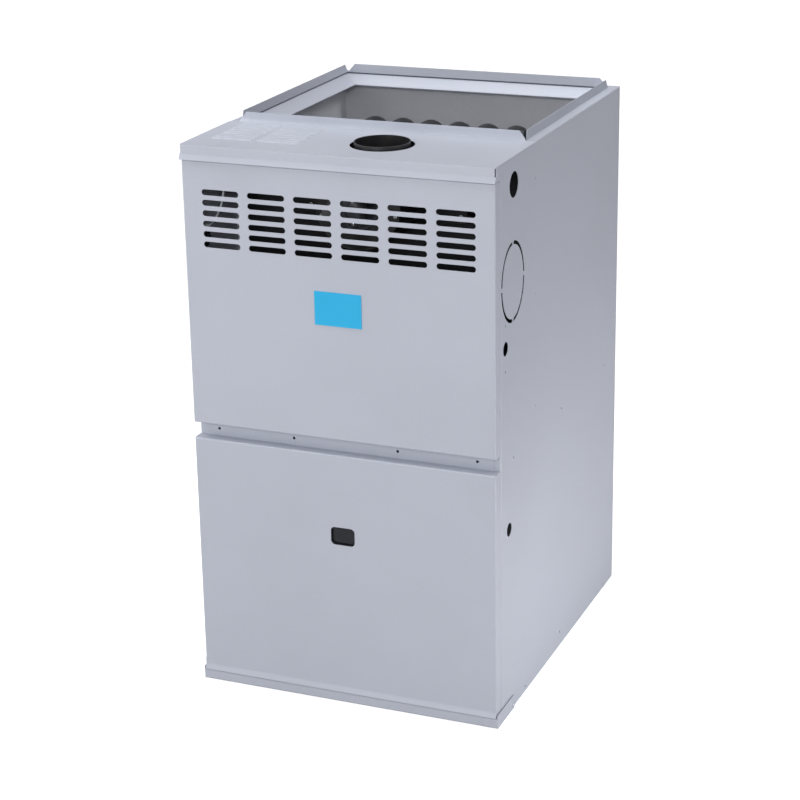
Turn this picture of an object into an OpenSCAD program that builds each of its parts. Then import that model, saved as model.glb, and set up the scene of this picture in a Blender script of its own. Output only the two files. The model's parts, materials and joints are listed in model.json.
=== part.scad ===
// Upflow forced air gas furnace: a folded sheet cabinet with two lift-off doors.
// +Z is up, the doors face -Y and +X is to the right of somebody facing the doors.
// The origin is on the floor, under the middle of the cabinet. All sizes are in millimetres.

/* [Cabinet] */
// Outside width over the two side panels
casing_w = 574; // [560:2:590]
// Outside depth, from the face of the base rail to the back panel
casing_d = 703; // [700:1:712]
// Height of the top plate above the floor
casing_h = 1016; // [1012:1:1030]
// Thickness of the cabinet sheet
sheet = 1; // [0.8:0.1:1.2]
// Radius of the folded edges
fold_r = 2.5; // [2:0.1:3]

/* [Doors] */
// Depth of a door pan, from its face to the ends of its side flanges
door_depth = 23; // [20:1:24]
// Bottom edge of the upper door
upper_door_z = 508.5; // [505:0.5:512]
// Top edge of the lower door
lower_door_top = 479.5; // [474:0.5:479.5]
// Width of one louvre slot
slot_w = 70; // [60:1:74]
// Height of one louvre slot
slot_h = 10.6; // [8:0.2:11.4]
// Width of the blank badge plate
badge_w = 87; // [60:1:100]
// Height of the blank badge plate
badge_h = 60; // [40:1:70]
// Width of the sight window
window_w = 46; // [40:1:52]
// Height of the sight window
window_h = 34; // [28:1:38]

/* [Top] */
// Height of the duct flanges above the top plate
flange_h = 17; // [14:1:22]
// Distance from the casing's outside faces in to the duct flanges
flange_inset = 18; // [16:1:20]
// Outside radius of the flue collar, which enters a 102 mm vent pipe
collar_r = 48.5; // [46:0.5:50]
// Height of the collar's rim above the top plate
collar_rise = 6; // [4:1:10]
// Sideways place of the flue from the cabinet's middle
flue_x = 46.5; // [40:0.5:52]

/* [Heat exchanger] */
// Outside radius of a heat exchanger tube
tube_r = 22; // [20:0.5:23]
// Distance between neighbouring tubes
tube_pitch = 57; // [54:1:58]
// Number of tubes and of burners
tube_count = 6; // [6]
// Centre-line radius of the tube bends
bend_r = 46.5; // [44:0.5:48]

/* [Blower] */
// Outside radius of the blower wheel
wheel_r = 127; // [120:1:130]
// Length of the blower wheel
wheel_w = 250; // [230:2:254]
// Radius of the blower shaft
blower_shaft_r = 6.35; // [6:0.05:8]

/* [Hidden] */

$fn = 48;

// How far a cutting shape runs past the surface that it cuts
cut = 1;

// Casing planes
side_x = casing_w / 2;
inner_x = side_x - sheet;
front_y = -casing_d / 2;
back_y = casing_d / 2;
panel_front_y = front_y + 25.5;
inner_back_y = back_y - 2 * sheet;
flange_x = side_x - flange_inset - sheet;
flange_y = back_y - flange_inset - sheet;
duct_front_y = -148;
side_flange_y = -142;
panel_top_z = casing_h - 4;
flange_top_z = casing_h + flange_h;
flange_fold_r = 2;
side_flange_slant = [3, 13];
rear_flange_slant = 15;
front_flange_slant = 13;
duct_half_w = side_x - 16;
panel_return = [25, 19];
deck_z = 484;
return_half_w = 230;
return_y = [-250, 290];
return_edge_h = 20;

// Fascia, door and rail planes
lip_out = 4.8;
lip_z = casing_h - 26;
lip_top_z = casing_h - 17;
door_y = front_y + 1.2;
door_half_w = side_x - 0.5;
upper_door_top = lip_z - 1.5;
lower_door_z = 22;
kick_z = 20.5;
kick_out = 3;
kick_bend_z = 31;
kick_bend_r = 20;
door_skin_cut = [door_y - cut, door_y + sheet + cut];
rail_top_z = 19;
rail_sheet = 1.2;
rail_wrap = 90;
rail_wrap_z = 25.5;
rail_wrap_gap = 1.5;
mid_rail_z = [470, 514];
mid_rail_lip = 18;
mid_rail_half_w = 275;
top_side_drop = 10.5;

// Louvres of the upper door
slot_columns = 6;
slot_rows = 6;
slot_pitch_x = 86.4;
slot_pitch_z = 18.6;
slot_top_z = 934.2;
slots_x = 1.5;

// Louvres of the top plate
vent_rows = 10;
vent_pitch = 13.3;
vent_y = -290.5;
vent_rib_r = 2.4;
vent_slit_w = 1;
vent_slit_inset = 2;
vent_blocks = [[-256, -178], [-171, -94]];

badge_x = 1.5;
badge_z = 747;
badge_t = 1.5;
window_x = -1.2;
window_z = 326.5;
window_r = 8;
lens_rim = 6;
lens_gap = 1.5;

// Flue and inducer
flue_y = -248;
flue_hole_r = 56;
collar_z = 990;
collar_wall = 1.5;
inducer_x = flue_x - 44.5;
inducer_z = 912;
inducer_y = [-275, -183];
inducer_r = [62, 86];
inducer_top_z = 976;
inducer_outlet_x = 3;
inducer_eye_r = 30;
collector_top_z = 975;
inducer_shaft_r = 4;
inducer_wheel_r = 50;
inducer_wheel_y = inducer_y + [8, -14];
inducer_fan_y = span(inducer_y[0], [-62, -54]);
running_gap = 0.05;

// Pressure switch: its thickness at the rim and in all, and its two radii; and its hose, from a boot
// on the switch up behind the louvres and over to the top of the collector box
switch_at = [-inner_x, -295, 836];
switch_depth = [5, 15];
switch_r = [27, 15];
hose_r = 1.9;
hose_boot_r = 5.5;
hose_boot_steps = 9;
hose_route = [
    [-281, -300, 858], [-275, -300, 858], [-269, -300, 858.5], [-258, -300, 866], [-247, -300, 881.5],
    [-238.5, -300, 900.5], [-233.8, -300, 920], [-229, -295, 950], [-221, -280, 975], [-203, -250, 992],
    [-170, -215, 998], [-142, -187, 996], [-124, -170, 988], [-120, -166, 975]
];

// Heat exchanger
tube_wall = 1.2;
tube_low_z = 668;
tube_step = 2 * bend_r;
tube_pass_z = [for (i = [0:3]) tube_low_z + i * tube_step];
vestibule_y = duct_front_y + sheet / 2;
tube_start_y = vestibule_y + sheet;
tube_back_y = 160;
tube_front_y = -60;
tube_xs = [for (i = [0:tube_count - 1]) (i - (tube_count - 1) / 2) * tube_pitch];

// Burners and gas train
burner_box_half_w = 172;
burner_box_y = [-240, vestibule_y];
burner_box_z = [630, 706];
manifold_y = -270;
manifold_r = 11;
valve_x = [190, 262];
valve_y = [-300, -238];
valve_z = [636, 700];
valve_boss = 8;
valve_inlet = [226, -270];
inlet_boss = 14;
inlet_bore_r = 10.5;
knob_x = 226;
knob_z = 672;
spindle_r = 4;
spindle_h = 11;
probe_y = -175;
probe_r = 3;
rollout_x = 100;
rollout_y = -200;
rollout_h = 12;
button_r = 2.5;

// Blower
blower_y = 20;
blower_z = 230;
blower_r = [140, 200];
blower_half_w = 146;
blower_outlet_in = 40;
blower_top = deck_z + 6 - blower_z;
motor_r = 68;
motor_x = [22, 132];
blower_shaft_x = [-18, 58];

// Liners of the heat exchanger compartment
liner_t = 10;
liner_x = side_x - sheet - liner_t;
trim_z = casing_h - 3.2;
trim_drop = 19.4;
trim_in = 26;
trim_hem = [5, -3.5];
trim_reach = inner_x - 0.1;
mitre_out = trim_in + 9;

// Side panel entries: depth, height and radius
gas_entry = [-259, 967, 22.5];
power_entry = [-301.3, 692, 12.5];
control_entry = [-282.5, 355, 12.5];

// The large knockout: depth and height of its middle, its half width and half height,
// the width of its slits, and how many degrees each tie between them takes
knockout_at = [-264, 800];
knockout_half = [59, 71];
knockout_slit = 6.5;
knockout_tie = 5;
small_holes = [
    [-147, 951.5], [-146.5, 746], [-302, 733], [-302, 651], [-145, 539],
    [7.5, 482], [273, 482], [-259.5, 482], [-194, 9], [8, 28], [285, 9]
];
small_hole_r = 2.2;
mid_rail_holes = [-248.2, -100.7, 97.3, 244.8];
mid_rail_hole_z = 492.7;
mid_rail_hole_r = 2.6;
rear_screw_z = [64, 361, 656, 994];
screw_r = 4.2;
screw_h = 4.8;

// Controls
bracket_y = -290;
bracket_t = 1.2;
plunger_x = 215;
plunger_z = 458;
plunger_r = 4;

steel = [0.74, 0.76, 0.80];
galvanised = [0.62, 0.64, 0.67];
dark_steel = [0.10, 0.11, 0.12];
black = [0.05, 0.05, 0.055];

// ---------- shared shapes ----------

module box(low, high) {
    translate(low)
        cube(high - low);
}

// The coordinates that lie at two distances from a place
function span(place, reach) = [place + reach[0], place + reach[1]];

// Round bars along each axis, from one end's coordinate to the other's
module rod_x(x, y, z, r) {
    translate([x[0], y, z])
        rotate([0, 90, 0])
            cylinder(r = r, h = x[1] - x[0]);
}

module rod_y(x, y, z, r) {
    translate([x, y[1], z])
        rotate([90, 0, 0])
            cylinder(r = r, h = y[1] - y[0]);
}

module rod_z(x, y, z, r) {
    translate([x, y, z[0]])
        cylinder(r = r, h = z[1] - z[0]);
}

// Extrudes a (y, z) outline along X, or an (x, z) outline along Y
module along_x(x) {
    translate([x[0], 0, 0])
        rotate([90, 0, 90])
            linear_extrude(x[1] - x[0])
                children();
}

module along_y(y) {
    translate([0, y[1], 0])
        rotate([90, 0, 0])
            linear_extrude(y[1] - y[0])
                children();
}

module both_sides() {
    children();
    mirror([1, 0, 0])
        children();
}

// A folded sheet's outline: the middle line's corners become arcs, then it gets its thickness
function unit(v) = v / norm(v);

function corner_arc(a, b, c, r, steps = 5) =
    let (
        u = unit(a - b),
        v = unit(c - b),
        half = acos(u * v) / 2,
        centre = b + unit(u + v) * r / sin(half),
        from = b + u * r / tan(half) - centre,
        to = b + v * r / tan(half) - centre,
        turn = atan2(from.x * to.y - from.y * to.x, from * to)
    )
    [for (i = [0:steps])
        let (t = turn * i / steps)
        centre + [from.x * cos(t) - from.y * sin(t), from.x * sin(t) + from.y * cos(t)]];

function rounded_line(p, radii) =
    concat(
        [p[0]],
        [for (i = [1:len(p) - 2]) each corner_arc(p[i - 1], p[i], p[i + 1], radii[i - 1])],
        [p[len(p) - 1]]
    );

function side_of(line, d) =
    [for (i = [0:len(line) - 1])
        let (
            before = i > 0 ? unit(line[i] - line[i - 1]) : unit(line[1] - line[0]),
            after = i < len(line) - 1 ? unit(line[i + 1] - line[i]) : before,
            normal = unit([-(before + after).y, (before + after).x]),
            stretch = 1 / (normal * [-before.y, before.x])
        )
        line[i] + normal * d * stretch];

module folded(corners, radii, t = sheet) {
    line = rounded_line(corners, radii);
    back = side_of(line, -t / 2);
    polygon(concat(
        side_of(line, t / 2),
        [for (i = [len(back) - 1:-1:0]) back[i]]
    ));
}

// A rectangle whose two corners on its low first axis are round
module front_round(low, high, r) {
    translate([low.x + r, low.y])
        square([high.x - low.x - r, high.y - low.y]);
    translate([low.x, low.y + r])
        square([high.x - low.x, high.y - low.y - 2 * r]);
    for (y = [low.y + r, high.y - r])
        translate([low.x + r, y])
            circle(r = r);
}

// A block with round edges all round its front face
module soft_block(low, high, r) {
    intersection() {
        translate([0, 0, low.z])
            linear_extrude(high.z - low.z)
                mirror([1, -1])
                    front_round([low.y, low.x], [high.y, high.x], r);
        along_x([low.x, high.x])
            front_round([low.y, low.z], [high.y, high.z], r);
    }
}

// A sheet pan, open at the back
module pan(low, high, t, r) {
    difference() {
        soft_block(low, high, r);
        soft_block(low + [t, t, t], high + [-t, 1, -t], r - t);
    }
}

// A slot with round ends, cut along Y
module slot_cut(x, z, w, h, y) {
    box([x - w / 2 + h / 2, y[0], z - h / 2], [x + w / 2 - h / 2, y[1], z + h / 2]);
    for (side = [-1, 1])
        rod_y(x + side * (w - h) / 2, y, z, h / 2);
}

// A window opening with round corners, cut along Y
module window_cut(x, z, w, h, r, y) {
    box([x - w / 2 + r, y[0], z - h / 2], [x + w / 2 - r, y[1], z + h / 2]);
    box([x - w / 2, y[0], z - h / 2 + r], [x + w / 2, y[1], z + h / 2 - r]);
    for (dx = [-1, 1], dz = [-1, 1])
        rod_y(x + dx * (w / 2 - r), y, z + dz * (h / 2 - r), r);
}

// A fan scroll: it starts over the wheel, winds round and ends in an outlet that points up
function scroll(r, inlet_side, top) =
    concat(
        [for (a = [90:10:360])
            let (size = r[0] + (r[1] - r[0]) * (a - 90) / 270)
            size * [cos(a), sin(a)]],
        [[r[1], top], [inlet_side, top], [inlet_side, r[0] + 1]]
    );

// ---------- cabinet ----------

// The right-hand side panel: returns front and back, and a ledge and duct flange on top
module side_panel_blank() {
    outer = side_x - sheet / 2;
    front = panel_front_y + sheet / 2;
    back = back_y - 1.5 * sheet;
    ledge = casing_h - sheet / 2;
    flange = flange_x + sheet / 2;
    ledge_skirt = 30;
    ledge_start = 14;
    linear_extrude(panel_top_z)
        folded([
            [side_x - panel_return[0], front], [outer, front],
            [outer, back], [side_x - panel_return[1], back]
        ], [fold_r, fold_r]);
    difference() {
        along_y([side_flange_y - ledge_start, inner_back_y])
            folded([
                [outer, casing_h - ledge_skirt], [outer, ledge], [flange, ledge], [flange, flange_top_z]
            ], [fold_r, flange_fold_r]);
        // The flange's ends are cut back at a slant, and the ledge stops at the top plate
        along_x([flange_x - 3 * cut, flange_x + 5 * cut])
            polygon([
                [flange_y, casing_h], [back_y, casing_h], [back_y, flange_top_z + cut],
                [flange_y - side_flange_slant.y - cut, flange_top_z + cut],
                [flange_y - side_flange_slant.y, flange_top_z]
            ]);
        along_x([flange_x - 3 * cut, side_x + 3 * cut])
            polygon([
                [side_flange_y - ledge_start - cut, panel_top_z], [side_flange_y, panel_top_z],
                [side_flange_y, casing_h], [side_flange_y + side_flange_slant.x, flange_top_z],
                [side_flange_y + side_flange_slant.x, flange_top_z + cut],
                [side_flange_y - ledge_start - cut, flange_top_z + cut]
            ]);
    }
}

module side_cut(entry) {
    rod_x([inner_x - cut, side_x + cut], entry[0], entry[1], entry[2]);
}

// The large oval knockout: four slits with ties between them, to a depth from the panel's outside
function oval_arc(half, from, to, step = 4) =
    [for (a = [from:sign(to - from) * step:to]) [half.x * cos(a), half.y * sin(a)]];

module knockout_slits(depth) {
    reach = 45 - knockout_tie / 2;
    inner = knockout_half - knockout_slit * [1, 1];
    along_x([side_x - depth, side_x + cut])
        translate(knockout_at)
            for (middle = [45:90:315])
                polygon(concat(
                    oval_arc(knockout_half, middle - reach, middle + reach),
                    oval_arc(inner, middle + reach, middle - reach)
                ));
}

module right_side_panel() {
    color(steel)
        difference() {
            side_panel_blank();
            side_cut(gas_entry);
            side_cut(power_entry);
            side_cut(control_entry);
            knockout_slits(sheet + cut);
            for (hole = small_holes)
                side_cut([hole[0], hole[1], small_hole_r]);
        }
}

// The left panel's knockout is only scored
module left_side_panel() {
    score = 0.45;
    color(steel)
        mirror([1, 0, 0])
            difference() {
                side_panel_blank();
                knockout_slits(score);
                for (hole = small_holes)
                    side_cut([hole[0], hole[1], small_hole_r]);
            }
}

// The flat back, with the rear ledge and duct flange folded from its top
module back_panel() {
    ledge = casing_h - sheet / 2;
    flange = flange_y + sheet / 2;
    color(steel) {
        box([-side_x, back_y - sheet, 0], [side_x, back_y, casing_h]);
        difference() {
            along_x([-flange_x, flange_x])
                folded([[back_y - sheet, ledge], [flange, ledge], [flange, flange_top_z]], [flange_fold_r]);
            both_sides()
                along_y([flange_y - 3 * cut, flange_y + 5 * cut])
                    polygon([
                        [flange_x, casing_h], [flange_x - rear_flange_slant, flange_top_z],
                        [flange_x - rear_flange_slant, flange_top_z + cut],
                        [flange_x + cut, flange_top_z + cut], [flange_x + cut, casing_h]
                    ]);
        }
    }
}

// The floor frame round the return air opening, with an upturned edge
module base_frame() {
    color(galvanised)
        difference() {
            union() {
                box([-inner_x, panel_front_y + sheet, 0], [inner_x, inner_back_y, sheet]);
                box([-return_half_w - sheet, return_y[0] - sheet, 0],
                    [return_half_w + sheet, return_y[1] + sheet, return_edge_h]);
            }
            box([-return_half_w, return_y[0], -cut], [return_half_w, return_y[1], return_edge_h + cut]);
        }
}

// A channel across the front that wraps round both sides
module front_base_rail() {
    half_t = rail_sheet / 2;
    face = front_y + half_t;
    wrap_x = side_x + rail_wrap_gap;
    color(steel) {
        along_x([-wrap_x, wrap_x])
            folded([
                [panel_front_y, rail_top_z - half_t], [face, rail_top_z - half_t],
                [face, half_t], [panel_front_y, half_t]
            ], [fold_r, fold_r], rail_sheet);
        both_sides()
            box([wrap_x, front_y, 0], [wrap_x + sheet, front_y + rail_wrap, rail_wrap_z]);
    }
}

// The rail in the gap between the doors, on the side panels' returns, with a lip folded back at its top
module mid_rail() {
    flat = panel_front_y - sheet / 2;
    top = mid_rail_z[1] - sheet / 2;
    lip_half_w = side_x - panel_return[0] - 2;
    color(steel)
        difference() {
            union() {
                box([-mid_rail_half_w, flat - sheet / 2, mid_rail_z[0]],
                    [mid_rail_half_w, flat + sheet / 2, top - fold_r]);
                along_x([-lip_half_w, lip_half_w])
                    folded([[panel_front_y + mid_rail_lip, top], [flat, top], [flat, top - 2 * fold_r]],
                        [fold_r]);
            }
            for (x = mid_rail_holes)
                rod_y(x, [flat - cut, flat + cut], mid_rail_hole_z, mid_rail_hole_r);
        }
}

// The deck between the blower and the heat exchanger, open over the blower's outlet
module blower_deck() {
    gap = 1;
    color(galvanised)
        difference() {
            box([-inner_x, panel_front_y + sheet, deck_z], [inner_x, inner_back_y, deck_z + sheet]);
            box([-blower_half_w - gap, blower_y + blower_outlet_in - gap, deck_z - cut],
                [blower_half_w + gap, blower_y + blower_r[1] + gap, deck_z + sheet + cut]);
        }
}

// The top plate, its fascia and outward lip, its side flanges and the front duct flange
module top_plate() {
    fascia = front_y + sheet / 2;
    skin = casing_h - sheet / 2;
    side = side_x + sheet / 2;
    lip_r = 4;
    duct_bend_r = 8;
    bend_y = duct_front_y - duct_bend_r - 1;
    color(steel)
        difference() {
            union() {
                difference() {
                    along_x([-side_x - sheet, side_x + sheet])
                        folded([
                            [front_y - lip_out, lip_z], [fascia, lip_top_z], [fascia, skin],
                            [duct_front_y, skin], [duct_front_y, flange_top_z]
                        ], [lip_r, fold_r, duct_bend_r]);
                    both_sides()
                        along_y([bend_y, duct_front_y + 2 * cut])
                            polygon([
                                [duct_half_w, casing_h - 2 * sheet], [duct_half_w, casing_h],
                                [duct_half_w - front_flange_slant, flange_top_z],
                                [duct_half_w - front_flange_slant, flange_top_z + cut],
                                [side + 2 * cut, flange_top_z + cut], [side + 2 * cut, casing_h - 2 * sheet]
                            ]);
                }
                difference() {
                    along_y([fascia, side_flange_y - 2])
                        folded([
                            [-side, casing_h - top_side_drop], [-side, skin],
                            [side, skin], [side, casing_h - top_side_drop]
                        ], [fold_r, fold_r]);
                    box([-duct_half_w, bend_y, casing_h - 2 * sheet],
                        [duct_half_w, side_flange_y, casing_h + cut]);
                }
                // The side flanges' front ends reach down over the door's top and close the lip
                both_sides() {
                    box([side_x, fascia, lip_z],
                        [side_x + sheet, panel_front_y + 2 * sheet, casing_h - fold_r - cut]);
                    along_x([side_x, side_x + sheet])
                        polygon([[front_y - lip_out, lip_z], [fascia, lip_z], [fascia, lip_top_z]]);
                }
                for (block = vent_blocks, row = [0:vent_rows - 1])
                    vent_rib(block, vent_y + row * vent_pitch);
            }
            rod_z(flue_x, flue_y, [casing_h - sheet - cut, casing_h + cut], flue_hole_r);
            // The fascia's corners are left open
            both_sides()
                box([side_x - 1.2, front_y - cut, lip_top_z + sheet],
                    [side_x + sheet + cut, front_y + 3, skin - sheet]);
            for (block = vent_blocks, row = [0:vent_rows - 1])
                vent_slit(block, vent_y + row * vent_pitch);
        }
}

// One raised louvre of the top plate, and the slit behind it
module vent_rib(block, y) {
    middle_z = casing_h - sheet / 2;
    intersection() {
        union() {
            rod_x(block + [vent_rib_r, -vent_rib_r], y, middle_z, vent_rib_r);
            for (end = block + [vent_rib_r, -vent_rib_r])
                translate([end, y, middle_z])
                    sphere(r = vent_rib_r);
        }
        box([block[0], y - vent_rib_r, casing_h - sheet], [block[1], y + vent_rib_r, casing_h + vent_rib_r]);
    }
}

module vent_slit(block, y) {
    box([block[0] + vent_slit_inset, y + vent_rib_r - vent_slit_w, casing_h - sheet - 2 * cut],
        [block[1] - vent_slit_inset, y + vent_rib_r + 0.6, casing_h + vent_rib_r]);
}

// The wall between the burner compartment and the warm air; it stands up behind the front duct flange
module vestibule_panel() {
    y = [vestibule_y, vestibule_y + sheet];
    half_w = liner_x - 0.5;
    top = casing_h - 2 * sheet;
    upstand_half_w = flange_x - 12;
    upstand_h = 12;
    color(galvanised)
        difference() {
            union() {
                box([-half_w, y[0], deck_z + sheet], [half_w, y[1], top]);
                box([-upstand_half_w, y[0], top - cut], [upstand_half_w, y[1], top + upstand_h]);
            }
            for (x = tube_xs, z = [tube_pass_z[0], tube_pass_z[3]])
                rod_y(x, y + [-cut, cut], z, tube_r - tube_wall);
        }
}

// Foil-faced boards on the three walls round the heat exchanger
module foil_liner() {
    z = [deck_z + sheet, casing_h - 24];
    fold_room = fold_r + 1;
    color(galvanised) {
        both_sides()
            box([liner_x, vestibule_y, z[0]], [inner_x, inner_back_y - fold_room, z[1]]);
        box([-liner_x, inner_back_y - liner_t, z[0]], [liner_x, inner_back_y, z[1]]);
    }
}

// Sloping strips inside the duct flanges, which hold the liner's top edge
module trim_outline(wall, flange) {
    foot = [flange - trim_in, casing_h - trim_drop];
    folded([[wall, trim_z], [flange, trim_z], foot, foot + trim_hem], [2, 1]);
}

module duct_trim_right() {
    color(steel)
        intersection() {
            along_y([vestibule_y + sheet, inner_back_y])
                trim_outline(trim_reach, flange_x);
            linear_extrude(casing_h)
                polygon([
                    [flange_x - mitre_out, vestibule_y], [side_x, vestibule_y],
                    [side_x, flange_y + side_x - flange_x - 0.1],
                    [flange_x - mitre_out, flange_y - mitre_out - 0.1]
                ]);
        }
}

module duct_trim_left() {
    mirror([1, 0, 0])
        duct_trim_right();
}

module duct_trim_rear() {
    color(steel)
        intersection() {
            along_x([-trim_reach, trim_reach])
                trim_outline(inner_back_y, flange_y);
            linear_extrude(casing_h)
                polygon([
                    [-side_x, flange_y + side_x - flange_x], [side_x, flange_y + side_x - flange_x],
                    [flange_x - mitre_out, flange_y - mitre_out],
                    [-flange_x + mitre_out, flange_y - mitre_out]
                ]);
        }
}

// Hexagon washer head screws: up the back panel's edges and at the ends of the base rail
module cabinet_screws() {
    edge = 9;
    color(galvanised) {
        both_sides()
            for (z = rear_screw_z)
                translate([side_x - edge, back_y, z])
                    rotate([-90, 0, 0])
                        screw_head(1.2, screw_h);
        both_sides()
            translate([side_x + rail_wrap_gap + sheet, front_y + rail_wrap - edge, edge])
                rotate([0, 90, 0])
                    screw_head(0.6, 2.2);
    }
}

module screw_head(washer, height) {
    cylinder(r = screw_r, h = washer);
    cylinder(r = screw_r - 1, h = height, $fn = 6);
}

// ---------- doors ----------

module upper_door() {
    color(steel)
        difference() {
            pan([-door_half_w, door_y, upper_door_z], [door_half_w, door_y + door_depth, upper_door_top],
                sheet, fold_r);
            for (column = [0:slot_columns - 1], row = [0:slot_rows - 1])
                slot_cut(slots_x + (column - (slot_columns - 1) / 2) * slot_pitch_x,
                    slot_top_z - row * slot_pitch_z, slot_w, slot_h, door_skin_cut);
        }
}

// A plain plate on the upper door
module blank_badge() {
    color([0.07, 0.55, 0.88])
        box([badge_x - badge_w / 2, door_y - badge_t, badge_z - badge_h / 2],
            [badge_x + badge_w / 2, door_y, badge_z + badge_h / 2]);
}

module lower_door() {
    face = door_y + sheet / 2;
    color(steel)
        difference() {
            union() {
                pan([-door_half_w, door_y, lower_door_z], [door_half_w, door_y + door_depth, lower_door_top],
                    sheet, fold_r);
                // The face's foot is bent outwards
                along_x([-door_half_w, door_half_w])
                    folded([
                        [face, kick_bend_z + 12], [face, kick_bend_z], [face - kick_out, kick_z]
                    ], [kick_bend_r]);
            }
            window_cut(window_x, window_z, window_w, window_h, window_r, door_skin_cut);
        }
}

// A dished lens with a flange behind the door's face
module sight_glass() {
    back = door_y + 7;
    floor_y = back - 2;
    color([0.12, 0.13, 0.17, 0.6])
        difference() {
            window_cut(window_x, window_z, window_w + 2 * lens_rim, window_h + 2 * lens_rim,
                window_r + lens_rim / 2, [door_y + sheet, back]);
            window_cut(window_x, window_z, window_w - 2 * lens_gap, window_h - 2 * lens_gap,
                window_r - lens_gap, [door_y, floor_y]);
        }
}

// ---------- heat exchanger ----------

// One tube: four level passes joined by three half-round bends
module tube_run(x, r) {
    rod_y(x, [tube_start_y, tube_back_y], tube_pass_z[0], r);
    rod_y(x, [tube_front_y, tube_back_y], tube_pass_z[1], r);
    rod_y(x, [tube_front_y, tube_back_y], tube_pass_z[2], r);
    rod_y(x, [tube_start_y, tube_back_y], tube_pass_z[3], r);
    half_bend(x, tube_back_y, tube_pass_z[0], r, 0);
    half_bend(x, tube_front_y, tube_pass_z[1], r, 180);
    half_bend(x, tube_back_y, tube_pass_z[2], r, 0);
}

// A half ring from height z up to the next pass; it bulges to the back, or to the front at a spin of 180
module half_bend(x, y, z, r, spin) {
    translate([x, y, z + bend_r])
        rotate([0, 90, 0])
            rotate([0, 0, spin])
                rotate_extrude(angle = 180)
                    translate([bend_r, 0])
                        circle(r = r);
}

module heat_tube(i) {
    x = tube_xs[i - 1];
    color(dark_steel)
        difference() {
            tube_run(x, tube_r);
            tube_run(x, tube_r - tube_wall);
            for (z = [tube_pass_z[0], tube_pass_z[3]])
                rod_y(x, [tube_start_y - cut, tube_start_y + cut], z, tube_r - tube_wall);
        }
}

// A drilled sheet on two legs that holds up the tubes' passes
module tube_support() {
    half_w = 180;
    leg_w = 28;
    y = [99, 100.5];
    gap_top = tube_low_z - tube_r - 16;
    top = tube_pass_z[3] + tube_r + 6;
    color(galvanised)
        difference() {
            box([-half_w, y[0], deck_z + sheet], [half_w, y[1], top]);
            box([-half_w + leg_w, y[0] - cut, deck_z - cut], [half_w - leg_w, y[1] + cut, gap_top]);
            for (x = tube_xs, z = tube_pass_z)
                rod_y(x, y + [-cut, cut], z, tube_r + 0.3);
        }
}

// The box that gathers the tubes' outlets in front of the vestibule panel
module collector_box() {
    low = [-175, inducer_y[1], 870];
    high = [175, vestibule_y, collector_top_z];
    wall = 1.2;
    color(galvanised)
        difference() {
            box(low, high);
            box(low + [wall, wall, wall], high + [-wall, cut, -wall]);
            rod_y(inducer_x, span(inducer_y[1], [-cut, wall + cut]), inducer_z, inducer_eye_r + 2);
        }
}

// ---------- burners and gas train ----------

module burner_box() {
    w = burner_box_half_w;
    color(galvanised)
        difference() {
            box([-w, burner_box_y[0], burner_box_z[0]], [w, burner_box_y[1], burner_box_z[1]]);
            box([-w + sheet, burner_box_y[0] - 1, burner_box_z[0] + sheet],
                [w - sheet, burner_box_y[1] + 1, burner_box_z[1] - sheet]);
            for (x = [tube_xs[0], tube_xs[tube_count - 1]])
                rod_z(x, probe_y, span(burner_box_z[1], [-sheet - cut, cut]), probe_r);
        }
}

// Six inshot burners on one carrier plate, with a flame crossover bar
module burner_set() {
    plate_y = [-205, -203.5];
    tube_y = [-236, -165];
    outside = [13, 18];
    inside = [11, 16.5];
    flare = 12;
    crossover_y = [-162, -157];
    color(galvanised)
        difference() {
            union() {
                box([-burner_box_half_w + sheet, plate_y[0], burner_box_z[0] + sheet],
                    [burner_box_half_w - sheet, plate_y[1], burner_box_z[1] - sheet]);
                for (x = tube_xs)
                    burner_outline(x, tube_y, outside, flare);
                box([tube_xs[0], crossover_y[0], tube_low_z - 2],
                    [tube_xs[tube_count - 1], crossover_y[1], tube_low_z + 2]);
            }
            for (x = tube_xs)
                burner_outline(x, tube_y + [-cut, 0], inside, flare + 0.1);
        }
}

// A burner's tube with a flared mouth
module burner_outline(x, y, r, flare) {
    rod_y(x, y, tube_low_z, r[0]);
    translate([x, y[1], tube_low_z])
        rotate([-90, 0, 0])
            cylinder(r1 = r[0], r2 = r[1], h = flare);
}

// The gas pipe across the burners, on two feet, with its far end closed
module gas_manifold() {
    closed_x = -165;
    wall = 3;
    foot = [5, 9];
    color(dark_steel)
        difference() {
            union() {
                rod_x([closed_x, valve_x[0] - valve_boss], manifold_y, tube_low_z, manifold_r);
                for (x = [-160, 160])
                    box([x - foot[0], manifold_y, tube_low_z - foot[1]],
                        [x + foot[0], burner_box_y[0], tube_low_z + foot[1]]);
            }
            rod_x([closed_x + wall, valve_x[0]], manifold_y, tube_low_z, manifold_r - wall);
        }
}

// Brass gas orifices between the manifold and the burners
module gas_orifices() {
    hex_h = 8;
    tip_y = -244;
    color([0.72, 0.57, 0.27])
        for (x = tube_xs)
            difference() {
                union() {
                    translate([x, manifold_y + manifold_r - 0.3, tube_low_z])
                        rotate([-90, 0, 0])
                            cylinder(r = 6, h = hex_h, $fn = 6);
                    rod_y(x, [manifold_y + manifold_r - 2, tip_y], tube_low_z, 3.5);
                }
                rod_y(x, [manifold_y, tip_y + cut], tube_low_z, 1.2);
                rod_x([x - hex_h, x + hex_h], manifold_y, tube_low_z, manifold_r);
            }
}

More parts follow.
